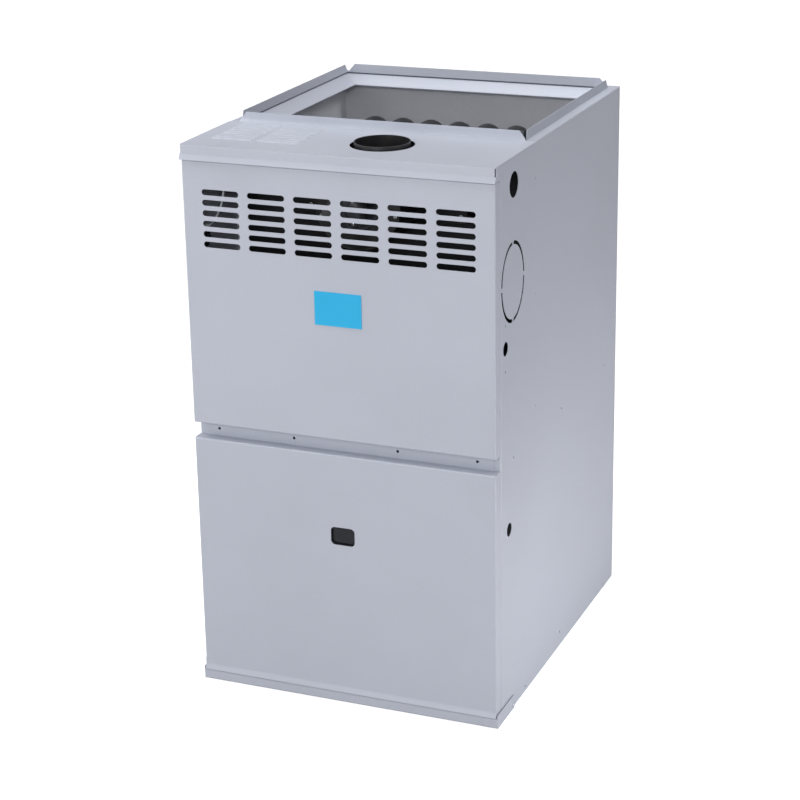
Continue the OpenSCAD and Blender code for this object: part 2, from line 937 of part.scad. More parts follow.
module gas_valve() {
    top = valve_z[1];
    color([0.55, 0.56, 0.58])
        difference() {
            union() {
                box([valve_x[0], valve_y[0], valve_z[0]], [valve_x[1], valve_y[1], top]);
                rod_x([valve_x[0] - valve_boss, valve_x[0]], manifold_y, tube_low_z, manifold_r + 4);
                rod_z(valve_inlet.x, valve_inlet.y, [top, top + inlet_boss], inlet_bore_r + 6.5);
                rod_y(knob_x, [valve_y[0] - spindle_h, valve_y[0]], knob_z, spindle_r);
            }
            rod_z(valve_inlet.x, valve_inlet.y, [top - 6, top + inlet_boss + cut], inlet_bore_r);
        }
}

// The on and off knob turns on the valve's spindle
module gas_knob() {
    y = [valve_y[0] - spindle_h - 3, valve_y[0] - 0.5];
    grip = [3, 6, 13];
    color([0.75, 0.1, 0.08])
        difference() {
            union() {
                rod_y(knob_x, y, knob_z, 15);
                box([knob_x - grip.x, y[0] - grip.y, knob_z - grip.z],
                    [knob_x + grip.x, y[0] + cut, knob_z + grip.z]);
            }
            rod_y(knob_x, [valve_y[0] - spindle_h - 0.5, valve_y[0]], knob_z, spindle_r + running_gap);
        }
}

// A probe that hangs into a burner's flame from a ceramic body on the burner box
module flame_probe(x, foot) {
    top = burner_box_z[1];
    rod_z(x, probe_y, [top, top + 16], 2 * probe_r);
    rod_z(x, probe_y, [foot, top], probe_r);
    box([x - 10, probe_y - 7, top], [x + 10, probe_y + 7, top + 1.5]);
}

module igniter() {
    color([0.85, 0.83, 0.76])
        flame_probe(tube_xs[0], tube_low_z + 20);
}

module flame_sensor() {
    color([0.85, 0.83, 0.76])
        flame_probe(tube_xs[tube_count - 1], tube_low_z + 19);
}

// Two manual-reset heat switches on the burner box
module rollout_switches() {
    z = burner_box_z[1];
    ear = [14, 9];
    color([0.15, 0.15, 0.16])
        for (side = [-1, 1])
            difference() {
                union() {
                    box([side * rollout_x - ear.x, rollout_y - ear.y, z],
                        [side * rollout_x + ear.x, rollout_y + ear.y, z + 1.5]);
                    rod_z(side * rollout_x, rollout_y, [z, z + rollout_h], 8.5);
                }
                rod_z(side * rollout_x, rollout_y, span(z, [3, rollout_h + cut]), button_r + running_gap);
            }
}

module rollout_button(side) {
    color([0.8, 0.1, 0.08])
        rod_z(side * rollout_x, rollout_y, span(burner_box_z[1] + rollout_h, [-6, 3]), button_r);
}

module rollout_button_left() {
    rollout_button(-1);
}

module rollout_button_right() {
    rollout_button(1);
}

// A heat switch on the vestibule panel
module limit_switch() {
    x = -90;
    z = 800;
    flange = [20, 15];
    flange_front = vestibule_y - 1.5;
    color([0.15, 0.15, 0.16]) {
        box([x - flange.x, flange_front, z - flange.y], [x + flange.x, vestibule_y, z + flange.y]);
        rod_y(x, [flange_front - 12.5, flange_front], z, 12);
    }
}

// ---------- draught inducer ----------

module inducer_housing() {
    wall = 1.5;
    top = inducer_top_z - inducer_z;
    color(black)
        difference() {
            along_y(inducer_y)
                translate([inducer_x, inducer_z])
                    polygon(scroll(inducer_r, inducer_outlet_x, top));
            along_y(inducer_y + [wall, -wall])
                translate([inducer_x, inducer_z])
                    polygon(scroll(inducer_r - [wall, wall], inducer_outlet_x + wall, top + cut));
            rod_y(inducer_x, span(inducer_y[1], [-wall - cut, cut]), inducer_z, inducer_eye_r);
            rod_y(inducer_x, span(inducer_y[0], [-cut, wall + cut]), inducer_z, 2 * inducer_shaft_r);
        }
}

// Blends the scroll's oblong outlet into the round collar
module flue_adapter() {
    wall = 2;
    rim = 0.5;
    low = [inducer_x + inducer_outlet_x, inducer_y[0], inducer_top_z];
    high = [inducer_x + inducer_r[1], inducer_y[1], inducer_top_z + rim];
    color(black)
        difference() {
            hull() {
                box(low, high);
                rod_z(flue_x, flue_y, [collar_z - rim, collar_z], collar_r, $fn = 32);
            }
            hull() {
                box(low + [wall, wall, -rim], high - [wall, wall, rim - 0.1]);
                rod_z(flue_x, flue_y, [collar_z - 0.1, collar_z + rim], collar_r - wall - rim, $fn = 32);
            }
        }
}

// The round outlet that a vent pipe slides over
module flue_collar() {
    z = [collar_z, casing_h + collar_rise];
    color(black)
        difference() {
            rod_z(flue_x, flue_y, z, collar_r);
            rod_z(flue_x, flue_y, z + [-cut, cut], collar_r - collar_wall);
        }
}

// The motor stands off the housing on three posts
module inducer_motor() {
    body_y = span(inducer_y[0], [-51, -13]);
    post_at = 28;
    color([0.25, 0.26, 0.28])
        difference() {
            union() {
                rod_y(inducer_x, body_y, inducer_z, 36);
                rod_y(inducer_x, span(inducer_y[0], [-1.5, 0]), inducer_z, 46);
                for (a = [30, 150, 270])
                    rod_y(inducer_x + post_at * cos(a), [body_y[1] - cut, inducer_y[0] - cut],
                        inducer_z + post_at * sin(a), 3.5);
            }
            rod_y(inducer_x, [body_y[0] - cut, inducer_y[0] + cut], inducer_z, inducer_shaft_r + running_gap);
        }
}

module inducer_shaft() {
    color([0.7, 0.7, 0.72])
        rod_y(inducer_x, [inducer_fan_y[0] - 1, inducer_wheel_y[1] - 1], inducer_z, inducer_shaft_r);
}

// A drum of flat blades between a hub plate and a ring
module inducer_wheel() {
    y = inducer_wheel_y;
    blades = 24;
    blade_from = 37;
    plate_t = 2;
    color(galvanised)
        difference() {
            union() {
                rod_y(inducer_x, [y[0], y[0] + plate_t], inducer_z, inducer_wheel_r);
                rod_y(inducer_x, [y[0], y[0] + 22], inducer_z, 10);
                difference() {
                    rod_y(inducer_x, [y[1] - plate_t, y[1]], inducer_z, inducer_wheel_r);
                    rod_y(inducer_x, [y[1] - plate_t - cut, y[1] + cut], inducer_z, blade_from - cut);
                }
                for (i = [0:blades - 1])
                    translate([inducer_x, 0, inducer_z])
                        rotate([0, i * 360 / blades, 0])
                            box([blade_from, y[0] + cut, -0.6], [inducer_wheel_r - 0.5, y[1] - cut, 0.6]);
            }
            rod_y(inducer_x, y + [-cut, cut], inducer_z, inducer_shaft_r);
        }
}

// The small fan in front that cools the motor
module inducer_fan() {
    blades = 6;
    blade_tilt = 35;
    color([0.3, 0.31, 0.33])
        difference() {
            union() {
                rod_y(inducer_x, inducer_fan_y, inducer_z, 10);
                for (i = [0:blades - 1])
                    translate([inducer_x, (inducer_fan_y[0] + inducer_fan_y[1]) / 2, inducer_z])
                        rotate([0, i * 360 / blades, 0])
                            rotate([blade_tilt, 0, 0])
                                box([8, -4, -0.6], [34, 4, 0.6]);
            }
            rod_y(inducer_x, inducer_fan_y + [-cut, cut], inducer_z, inducer_shaft_r);
        }
}

// The pressure switch on the left wall: a wide rim round a raised middle
module pressure_switch() {
    color(black)
        for (i = [0, 1])
            rod_x([switch_at.x, switch_at.x + switch_depth[i]], switch_at.y, switch_at.z, switch_r[i]);
}

// A smooth curve through the route's points
function curve_point(p, i, t) =
    let (
        last = len(p) - 1,
        a = p[max(i - 1, 0)],
        b = p[i],
        c = p[min(i + 1, last)],
        d = p[min(i + 2, last)]
    )
    0.5 * (2 * b + (c - a) * t + (2 * a - 5 * b + 4 * c - d) * t * t + (3 * b - a - 3 * c + d) * t * t * t);

function curve(p, steps) =
    concat(
        [for (i = [0:len(p) - 2], s = [0:steps - 1]) curve_point(p, i, s / steps)],
        [p[len(p) - 1]]
    );

// A tube along a line, with a radius for each of the line's points
module swept_tube(line, radii, sides = 10) {
    n = len(line);
    rings = [for (i = [0:n - 1])
        let (
            along = unit(line[min(i + 1, n - 1)] - line[max(i - 1, 0)]),
            across = unit(cross(along, [0, 1, 0])),
            over = cross(along, across)
        )
        for (s = [0:sides - 1])
            line[i] + radii[i] * (cos(360 * s / sides) * across + sin(360 * s / sides) * over)];
    walls = [for (i = [0:n - 2], s = [0:sides - 1])
        let (
            next = (s + 1) % sides,
            low = i * sides,
            high = low + sides
        )
        each [[low + s, high + s, low + next], [low + next, high + s, high + next]]];
    ends = concat(
        [for (s = [1:sides - 2]) [0, s, s + 1]],
        [for (s = [1:sides - 2]) (n - 1) * sides * [1, 1, 1] + [0, s + 1, s]]
    );
    polyhedron(rings, concat(walls, ends));
}

module pressure_tube() {
    line = curve(hose_route, 4);
    radii = [for (i = [0:len(line) - 1]) i < hose_boot_steps ? hose_boot_r : hose_r];
    color([0.95, 0.95, 0.95])
        swept_tube(line, radii);
}

// ---------- circulating blower ----------

module blower_housing() {
    half_w = [-blower_half_w, blower_half_w];
    color(galvanised)
        difference() {
            along_x(half_w)
                translate([blower_y, blower_z])
                    polygon(scroll(blower_r, blower_outlet_in, blower_top));
            along_x(half_w + [sheet, -sheet])
                translate([blower_y, blower_z])
                    polygon(scroll(blower_r - [sheet, sheet], blower_outlet_in + sheet, blower_top + cut));
            rod_x(half_w + [-cut, cut], blower_y, blower_z, wheel_r - 15);
        }
}

// Flat blades between two rings, on a plate across the middle with a hub
module blower_wheel() {
    half = wheel_w / 2;
    blades = 36;
    blade_h = 13;
    ring_t = 3;
    hub = [14, 15];
    color(galvanised)
        difference() {
            union() {
                for (end = [-half, half - ring_t])
                    difference() {
                        rod_x([end, end + ring_t], blower_y, blower_z, wheel_r);
                        rod_x([end - cut, end + ring_t + cut], blower_y, blower_z, wheel_r - blade_h - 1);
                    }
                rod_x([-1, 1], blower_y, blower_z, wheel_r - 1);
                rod_x([-hub[0], hub[0]], blower_y, blower_z, hub[1]);
                for (i = [0:blades - 1])
                    translate([0, blower_y, blower_z])
                        rotate([i * 360 / blades, 0, 0])
                            box([-half + cut, wheel_r - blade_h, -0.7], [half - cut, wheel_r - 0.8, 0.7]);
            }
            rod_x([-hub[0] - cut, hub[0] + cut], blower_y, blower_z, blower_shaft_r);
        }
}

module blower_shaft() {
    color([0.7, 0.7, 0.72])
        rod_x(blower_shaft_x, blower_y, blower_z, blower_shaft_r);
}

module blower_motor() {
    color([0.22, 0.23, 0.25])
        difference() {
            rod_x(motor_x, blower_y, blower_z, motor_r);
            rod_x([motor_x[0] - cut, blower_shaft_x[1] + cut], blower_y, blower_z,
                blower_shaft_r + running_gap);
        }
}

// A belly band and three arms that hang the motor in the blower's right inlet
module motor_mount() {
    band = [98, 122];
    band_t = 3;
    arm_t = [4, 3];
    arm_half_w = 8;
    arm_end = 128;
    color(dark_steel) {
        difference() {
            rod_x(band, blower_y, blower_z, motor_r + band_t);
            rod_x(band + [-cut, cut], blower_y, blower_z, motor_r);
        }
        for (a = [90, 210, 330])
            translate([0, blower_y, blower_z])
                rotate([a, 0, 0]) {
                    box([band[0] + 4, motor_r + 2, -arm_half_w],
                        [blower_half_w + arm_t[1], motor_r + 2 + arm_t[0], arm_half_w]);
                    box([blower_half_w, motor_r + 2, -arm_half_w],
                        [blower_half_w + arm_t[1], arm_end, arm_half_w]);
                }
    }
}

// ---------- controls ----------

// A plate that hangs from the deck and carries the control board
module control_bracket() {
    half_w = 105;
    low_z = 262;
    top_flange = 22;
    color(galvanised) {
        box([-half_w, bracket_y, low_z], [half_w, bracket_y + bracket_t, deck_z]);
        box([-half_w, bracket_y, deck_z - bracket_t], [half_w, bracket_y + top_flange, deck_z]);
    }
}

// The board on four posts, with relays, a terminal block, a plug, a chip and a status lamp
module control_board() {
    face = bracket_y - 7;
    board_t = 1.6;
    half_w = 92;
    z = [275, 395];
    post_in = 8;
    relay_pitch = 24;
    rooted = face + board_t / 2;
    color([0.10, 0.38, 0.22]) {
        box([-half_w, face, z[0]], [half_w, face + board_t, z[1]]);
        for (x = [post_in - half_w, half_w - post_in], post_z = [z[0] + post_in, z[1] - post_in])
            rod_y(x, [rooted, bracket_y], post_z, 3);
        for (i = [0:3])
            box([-80 + i * relay_pitch, face - 16, 352], [-61 + i * relay_pitch, rooted, 378]);
        box([28, face - 12, 345], [80, rooted, 362]);
        box([-80, face - 9, 284], [-20, rooted, 294]);
        box([20, face - 4, 300], [42, rooted, 322]);
        rod_y(window_x, [face - 8, rooted], window_z, 3);
    }
}

// A laminated core with its coil through it, on a foot under the deck
module transformer() {
    middle = [155, -285, 448];
    core = [30, 20, 24];
    coil = [17, 33, 14];
    foot = [35, 15];
    color([0.28, 0.28, 0.30]) {
        box(middle - core, middle + core);
        box(middle - coil, middle + coil);
        box([middle.x - foot.x, middle.y - foot.y, middle.z + core.z - 1],
            [middle.x + foot.x, middle.y + foot.y, deck_z]);
    }
}

// The motor's capacitor, strapped to the blower's side, with two terminals
module capacitor() {
    r = 19;
    at = [blower_half_w + r + 2, -80];
    z = [300, 372];
    strap_z = [325, 340];
    tab = [3, 1, 8];
    color([0.7, 0.71, 0.73]) {
        rod_z(at.x, at.y, z, r);
        box([blower_half_w, at.y - 10, strap_z[0]], [at.x, at.y + 10, strap_z[1]]);
        for (side = [-7, 7])
            box([at.x - tab.x, at.y + side - tab.y, z[1] - cut],
                [at.x + tab.x, at.y + side + tab.y, z[1] + tab.z]);
    }
}

// The safety switch that the lower door holds pressed
module door_switch() {
    y = span(panel_front_y, [4, 32]);
    half_w = 11;
    color([0.1, 0.1, 0.11])
        difference() {
            box([plunger_x - half_w, y[0], plunger_z - 14], [plunger_x + half_w, y[1], deck_z]);
            rod_y(plunger_x, [y[0] - cut, y[1] - 8], plunger_z, plunger_r + running_gap);
        }
}

module switch_plunger() {
    color([0.9, 0.9, 0.9])
        rod_y(plunger_x, [door_y + sheet + 0.4, panel_front_y + 16], plunger_z, plunger_r);
}

// A wiring box behind the lower wiring entry, open towards the side panel
module junction_box() {
    wall = 1.2;
    low = [232, -318, 312];
    high = [inner_x, -247, 398];
    color(galvanised)
        difference() {
            box(low, high);
            box(low + [wall, wall, wall], high + [cut, -wall, -wall]);
        }
}

left_side_panel();
right_side_panel();
back_panel();
base_frame();
front_base_rail();
mid_rail();
blower_deck();
top_plate();
vestibule_panel();
foil_liner();
duct_trim_left();
duct_trim_right();
duct_trim_rear();
cabinet_screws();
upper_door();
blank_badge();
lower_door();
sight_glass();
heat_tube(1);  // heat_tube_1
heat_tube(2);  // heat_tube_2
heat_tube(3);  // heat_tube_3
heat_tube(4);  // heat_tube_4
heat_tube(5);  // heat_tube_5
heat_tube(6);  // heat_tube_6
tube_support();
collector_box();
burner_box();
burner_set();
gas_manifold();
gas_orifices();
gas_valve();
gas_knob();
igniter();
flame_sensor();
rollout_switches();
rollout_button_left();
rollout_button_right();
limit_switch();
inducer_housing();
flue_adapter();
flue_collar();
inducer_motor();
inducer_shaft();
inducer_wheel();
inducer_fan();
pressure_switch();
pressure_tube();
blower_housing();
blower_wheel();
blower_shaft();
blower_motor();
motor_mount();
control_bracket();
control_board();
transformer();
capacitor();
door_switch();
switch_plunger();
junction_box();
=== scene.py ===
"""The looks of an upflow forced air gas furnace: finishes, small pieces, studio and camera."""

import json
import math
from itertools import product

import bmesh
import bpy
from mathutils import Matrix, Vector


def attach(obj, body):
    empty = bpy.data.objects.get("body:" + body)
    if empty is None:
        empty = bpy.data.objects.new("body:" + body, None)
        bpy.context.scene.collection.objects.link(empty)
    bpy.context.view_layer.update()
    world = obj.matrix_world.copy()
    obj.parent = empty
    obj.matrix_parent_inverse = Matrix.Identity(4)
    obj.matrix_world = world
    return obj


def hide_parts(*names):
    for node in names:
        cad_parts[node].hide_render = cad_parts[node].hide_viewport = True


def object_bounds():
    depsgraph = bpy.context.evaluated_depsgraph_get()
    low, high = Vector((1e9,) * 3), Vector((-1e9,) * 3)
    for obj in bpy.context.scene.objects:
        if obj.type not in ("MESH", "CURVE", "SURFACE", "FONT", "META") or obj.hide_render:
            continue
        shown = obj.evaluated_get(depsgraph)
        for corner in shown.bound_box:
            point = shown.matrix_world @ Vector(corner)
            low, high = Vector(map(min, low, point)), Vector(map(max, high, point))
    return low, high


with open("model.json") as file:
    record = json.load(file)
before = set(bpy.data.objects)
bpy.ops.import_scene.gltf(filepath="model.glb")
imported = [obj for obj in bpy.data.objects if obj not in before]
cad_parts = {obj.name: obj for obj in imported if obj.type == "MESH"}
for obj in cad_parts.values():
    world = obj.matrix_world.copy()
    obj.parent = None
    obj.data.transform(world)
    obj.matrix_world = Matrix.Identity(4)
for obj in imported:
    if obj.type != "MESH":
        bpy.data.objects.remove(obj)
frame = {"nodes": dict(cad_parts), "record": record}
cad_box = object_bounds()
NODES = frame["nodes"]

PAINT = (0.495, 0.520, 0.597)
ZINC = (0.60, 0.62, 0.65)

# Places on the furnace, in millimetres.
TUBES_ACROSS = [(i - 2.5) * 57 for i in range(6)]
TUBE_PASSES = [668 + 93 * k for k in range(4)]
MANIFOLD = (-270, 668)  # y and z of the gas manifold's middle line
INDUCER = (2, 912)  # x and z of the inducer's axis
BLOWER = (20, 230)  # y and z of the blower's axis
PRESSURE_SWITCH = (-295, 836)  # y and z of its middle, on the left wall
FLUE_FOOT = (46.5, -248, 990)

# The right and the left side: the sign of x, and the facing.
SIDES = ((1, "+x"), (-1, "-x"))


# ---------- camera, light and floor ----------

def placed(name, data):
    """A new object, linked to the scene."""
    made = bpy.data.objects.new(name, data)
    bpy.context.scene.collection.objects.link(made)
    return made


def place_camera():
    """The photograph's place: 22.8 degrees round to the right, 19 degrees up, leaning a little."""
    round_right, up_tilt, roll = 0.398607, 0.330869, -0.0199005
    stand = (1.433368, -3.554296, 1.824165)
    photo_width, focal_length = 800, 2149.98  # both in pixels
    back = Vector((math.sin(round_right) * math.cos(up_tilt),
                   -math.cos(round_right) * math.cos(up_tilt), math.sin(up_tilt)))
    right = Vector((0, 0, 1)).cross(back).normalized()
    up = back.cross(right)
    right, up = (math.cos(roll) * right + math.sin(roll) * up,
                 math.cos(roll) * up - math.sin(roll) * right)
    data = bpy.data.cameras.new("photo_camera")
    data.sensor_width = 36
    data.lens = focal_length * data.sensor_width / photo_width
    data.shift_x = 0.02
    data.shift_y = -0.025
    data.clip_end = 60
    camera = placed("photo_camera", data)
    turn = Matrix((right, up, back)).transposed().to_4x4()
    camera.matrix_world = Matrix.Translation(stand) @ turn
    bpy.context.scene.camera = camera


def soft_lamp(name, place, target, size, power):
    """A rectangular lamp, turned to its target, which the camera doesn't see."""
    data = bpy.data.lights.new(name, "AREA")
    data.shape = "RECTANGLE"
    data.size, data.size_y = size
    data.energy = power
    lamp = placed(name, data)
    lamp.location = place
    aim = Vector(target) - Vector(place)
    lamp.rotation_euler = aim.to_track_quat("-Z", "Y").to_euler()
    lamp.visible_camera = False


def light_studio():
    """Dim air that looks white to the camera, a broad light from above, and the soft lamps."""
    world = bpy.data.worlds.new("studio_air")
    world.use_nodes = True
    tree = world.node_tree
    air = tree.nodes["Background"]
    wire(tree, air.inputs["Color"], (0.96, 0.98, 1.0, 1))
    wire(tree, air.inputs["Strength"], 0.12)
    seen = add(tree, "Background", {"Color": (1, 1, 1, 1)})
    looked_at = add(tree, "LightPath").outputs["Is Camera Ray"]
    mix = add(tree, "MixShader", {0: looked_at, 1: air.outputs[0], 2: seen.outputs[0]})
    wire(tree, tree.nodes["World Output"].inputs["Surface"], mix.outputs[0])
    bpy.context.scene.world = world
    overhead = bpy.data.lights.new("overhead", "SUN")
    overhead.energy = 1.87
    overhead.angle = math.radians(75)
    placed("overhead", overhead)
    for name, place, target, size, power in (
            ("far_left", (-2.6, -2.6, 1.2), (-0.1, -0.3, 0.7), (1.2, 1.4), 18.6),
            ("front", (-0.5, -3.6, 1.3), (0, -0.3, 0.6), (1.2, 1.0), 27),
            ("beside_camera", (1.05, -3.1, 2.0), (-0.1, -0.3, 0.8), (0.9, 0.6), 21),
            ("over_top", (-1.3, -0.4, 1.9), (-0.2, -0.1, 1.0), (1.0, 1.0), 8.7),
            ("into_duct", (0.24, 0.3, 1.5), (-0.276, 0.1, 0.97), (0.2, 0.2), 1.2),
            ("right_wall", (3.0, -0.5, 1.2), (0.29, 0, 0.5), (1.6, 1.6), 12),
            ("low_right", (1.0, -0.05, 0.12), (0.29, -0.05, 0.12), (1.1, 0.2), 3.2)):
        soft_lamp(name, place, target, size, power)


# ---------- shader helpers ----------

def add(tree, kind, sockets=None, **settings):
    """A shader node with its settings, and its sockets set or linked."""
    made = tree.nodes.new("ShaderNode" + kind)
    for key, value in settings.items():
        setattr(made, key, value)
    for key, value in (sockets or {}).items():
        wire(tree, made.inputs[key], value)
    return made


def wire(tree, socket, value):
    """Links another node's output to a socket, or sets a plain value on it."""
    if isinstance(value, bpy.types.NodeSocket):
        tree.links.new(value, socket)
    else:
        socket.default_value = value


def maths(tree, operation, a, b, clamp=False):
    return add(tree, "Math", {0: a, 1: b}, operation=operation, use_clamp=clamp).outputs[0]


def mixture(tree, a, share_a, b, share_b):
    """Two values added by their shares."""
    return maths(tree, "ADD", maths(tree, "MULTIPLY", a, share_a), maths(tree, "MULTIPLY", b, share_b))


def spread(tree, value, low, high, to_low=0.0, to_high=1.0):
    """Maps value from low..high to another range, held at its ends."""
    return add(tree, "MapRange", {"Value": value, "From Min": low, "From Max": high,
                                  "To Min": to_low, "To Max": to_high}).outputs[0]


def blend_colours(tree, share, a, b):
    """From colour a, where the share is nothing, to colour b."""
    return add(tree, "Mix", {0: share, 6: a, 7: b}, data_type="RGBA").outputs[2]


def place_of(tree, stretch=(1, 1, 1)):
    """Coordinates on the object, in metres, stretched for grain that runs one way."""
    spot = add(tree, "TexCoord").outputs["Object"]
    return add(tree, "VectorMath", {0: spot, 1: stretch}, operation="MULTIPLY").outputs[0]


def grainy(tree, place, scale, detail=3.0, roughness=0.55):
    return add(tree, "TexNoise", {"Vector": place, "Scale": scale, "Detail": detail,
                                  "Roughness": roughness}).outputs[0]


def dress(tree, shader, colour, roughness, height, depth, strength):
    """Wires what changes over a finish's surface to its shader."""
    wire(tree, shader["Base Color"], colour)
    wire(tree, shader["Roughness"], roughness)
    bump = add(tree, "Bump", {"Height": height, "Distance": depth, "Strength": strength})
    wire(tree, shader["Normal"], bump.outputs[0])


def new_effect(name, inputs, outputs):
    """An empty node group with named sockets, made once."""
    group = bpy.data.node_groups.new(name, "ShaderNodeTree")
    for label, kind, value in inputs:
        group.interface.new_socket(label, in_out="INPUT",
                                   socket_type="NodeSocket" + kind).default_value = value
    for label, kind in outputs:
        group.interface.new_socket(label, in_out="OUTPUT", socket_type="NodeSocket" + kind)
    return group, group.nodes.new("NodeGroupInput").outputs, group.nodes.new("NodeGroupOutput").inputs


def use(tree, group, **sockets):
    """An effect, placed with its own values."""
    return add(tree, "Group", sockets, node_tree=group).outputs


# ---------- effects that several finishes use ----------

def make_worn_edges():
    """Where the surface turns a corner, broken up as rubbing does."""
    group, given, out = new_effect("worn_edges", [("Width", "Float", 0.001), ("Breaks", "Float", 90.0)],
                                   [("Mask", "Float")])
    rounded = add(group, "Bevel", {"Radius": given["Width"]}, samples=4).outputs[0]
    flat = add(group, "NewGeometry").outputs["Normal"]
    facing = add(group, "VectorMath", {0: rounded, 1: flat}, operation="DOT_PRODUCT").outputs["Value"]
    corner = spread(group, facing, 0.995, 0.86)
    breaks = spread(group, grainy(group, place_of(group), given["Breaks"]), 0.35, 0.65, 0.35, 1.0)
    wire(group, out["Mask"], maths(group, "MULTIPLY", corner, breaks, clamp=True))
    return group


def make_powder_skin():
    """The fine orange peel and slow clouding of a baked coat of paint."""
    group, given, out = new_effect("powder_skin", [("Peel", "Float", 700.0), ("Cloud", "Float", 3.0)],
                                   [("Height", "Float"), ("Tone", "Float")])
    place = place_of(group)
    peel = grainy(group, place, given["Peel"], 2.0)
    dimple = grainy(group, place, maths(group, "MULTIPLY", given["Peel"], 0.22), 1.0)
    wire(group, out["Height"], maths(group, "ADD", maths(group, "MULTIPLY", peel, 0.5), dimple))
    cloud = grainy(group, place, given["Cloud"], 4.0, 0.6)
    speck = grainy(group, place, maths(group, "MULTIPLY", given["Cloud"], 60.0), 2.0)
    wire(group, out["Tone"], mixture(group, cloud, 0.75, speck, 0.25))
    return group


def make_zinc_spangle():
    """The frosty crystals of hot-dip zinc."""
    group, given, out = new_effect("zinc_spangle", [("Size", "Float", 70.0)],
                                   [("Tone", "Float"), ("Height", "Float")])
    place = place_of(group)
    stirred = add(group, "TexNoise", {"Vector": place, "Scale": 40.0, "Detail": 2.0}).outputs["Color"]
    place = add(group, "VectorMath", {0: stirred, 1: (0.006,) * 3, 2: place},
                operation="MULTIPLY_ADD").outputs[0]
    cells = add(group, "TexVoronoi", {"Vector": place, "Scale": given["Size"]})
    shade = add(group, "SeparateColor", {"Color": cells.outputs["Color"]}).outputs[0]
    frost = grainy(group, place, 420.0, 2.0)
    wire(group, out["Tone"], mixture(group, shade, 0.65, frost, 0.35))
    wire(group, out["Height"], cells.outputs["Distance"])
    return group


def make_settled_dust():
    """Grey dust that lies on what faces up."""
    group, given, out = new_effect("settled_dust", [("Amount", "Float", 0.5)], [("Mask", "Float")])
    normal = add(group, "NewGeometry").outputs["Normal"]
    up = add(group, "SeparateXYZ", {0: normal}).outputs[2]
    patches = spread(group, grainy(group, place_of(group), 26.0, 5.0, 0.65), 0.38, 0.66)
    lying = maths(group, "MULTIPLY", spread(group, up, 0.25, 0.95), patches)
    wire(group, out["Mask"], maths(group, "MULTIPLY", lying, given["Amount"], clamp=True))
    return group


def make_fine_lines():
    """Fine grinding or drawing lines along one direction."""
    group, given, out = new_effect("fine_lines", [("Stretch", "Vector", (1.0, 1.0, 1.0)),
                                                  ("Scale", "Float", 300.0)], [("Height", "Float")])
    place = place_of(group, given["Stretch"])
    wire(group, out["Height"], grainy(group, place, given["Scale"], 4.0, 0.6))
    return group


def make_cast_skin():
    """The sandy skin and slow unevenness of a casting or a moulding."""
    group, given, out = new_effect("cast_skin", [("Grain", "Float", 900.0)],
                                   [("Height", "Float"), ("Tone", "Float")])
    place = place_of(group)
    wire(group, out["Height"], grainy(group, place, given["Grain"], 4.0, 0.7))
    wire(group, out["Tone"], grainy(group, place, 32.0, 4.0, 0.6))
    return group


WORN_EDGES = make_worn_edges()
POWDER_SKIN = make_powder_skin()
ZINC_SPANGLE = make_zinc_spangle()
SETTLED_DUST = make_settled_dust()
FINE_LINES = make_fine_lines()
CAST_SKIN = make_cast_skin()


# ---------- finishes ----------

FINISHES = {}


def new_finish(name, **plain):
    """A material, kept under its name, with the shader's plain values set on it."""
    made = FINISHES[name] = bpy.data.materials.new(name)
    made.use_nodes = True
    shader = made.node_tree.nodes["Principled BSDF"].inputs
    for key, value in plain.items():
        shader[key.replace("_", " ")].default_value = value
    return made.node_tree, shader


def shade(colour, factor):
    return tuple(c * factor for c in colour) + (1.0,)


def sheen(tree, tone, smooth, rough):
    """A roughness that follows a tone."""
    return spread(tree, tone, 0.3, 0.7, smooth, rough)


def rubbed(tree, colour, width, bare):
    """The colour, gone over to a bare one along the edges."""
    return blend_colours(tree, use(tree, WORN_EDGES, Width=width)["Mask"], colour, bare)


def powder_coated(name, colour, roughness, edge_lift=1.12, dust=0.0, clouding=0.035):
    """Paint baked on steel: orange peel, slow clouding, rubbed edges."""
    tree, shader = new_finish(name, Metallic=0.0)
    skin = use(tree, POWDER_SKIN, Peel=700.0)
    tone = spread(tree, skin["Tone"], 0.3, 0.7)
    coat = blend_colours(tree, tone, shade(colour, 1 - clouding), shade(colour, 1 + clouding))
    coat = rubbed(tree, coat, 0.0012, shade(colour, edge_lift))
    if dust:
        lying = use(tree, SETTLED_DUST, Amount=dust)["Mask"]
        coat = blend_colours(tree, lying, coat, (0.30, 0.29, 0.27, 1))
        tone = maths(tree, "ADD", tone, lying)
    dress(tree, shader, coat, spread(tree, tone, 0.0, 1.0, roughness - 0.05, roughness + 0.07),
          skin["Height"], 0.00018, 0.35)


def galvanised():
    """Hot-dip zinc on the inner sheet parts."""
    tree, shader = new_finish("galvanised", Metallic=0.85)
    spangle = use(tree, ZINC_SPANGLE, Size=75.0)
    dust = use(tree, SETTLED_DUST, Amount=0.35)["Mask"]
    colour = blend_colours(tree, spangle["Tone"], shade(ZINC, 0.80), shade(ZINC, 1.18))
    colour = rubbed(tree, colour, 0.0008, shade(ZINC, 1.3))
    colour = blend_colours(tree, dust, colour, (0.33, 0.32, 0.30, 1))
    rough = maths(tree, "ADD", spread(tree, spangle["Tone"], 0, 1, 0.50, 0.30),
                  maths(tree, "MULTIPLY", dust, 0.4))
    dress(tree, shader, colour, rough, spangle["Height"], 0.00025, 0.25)


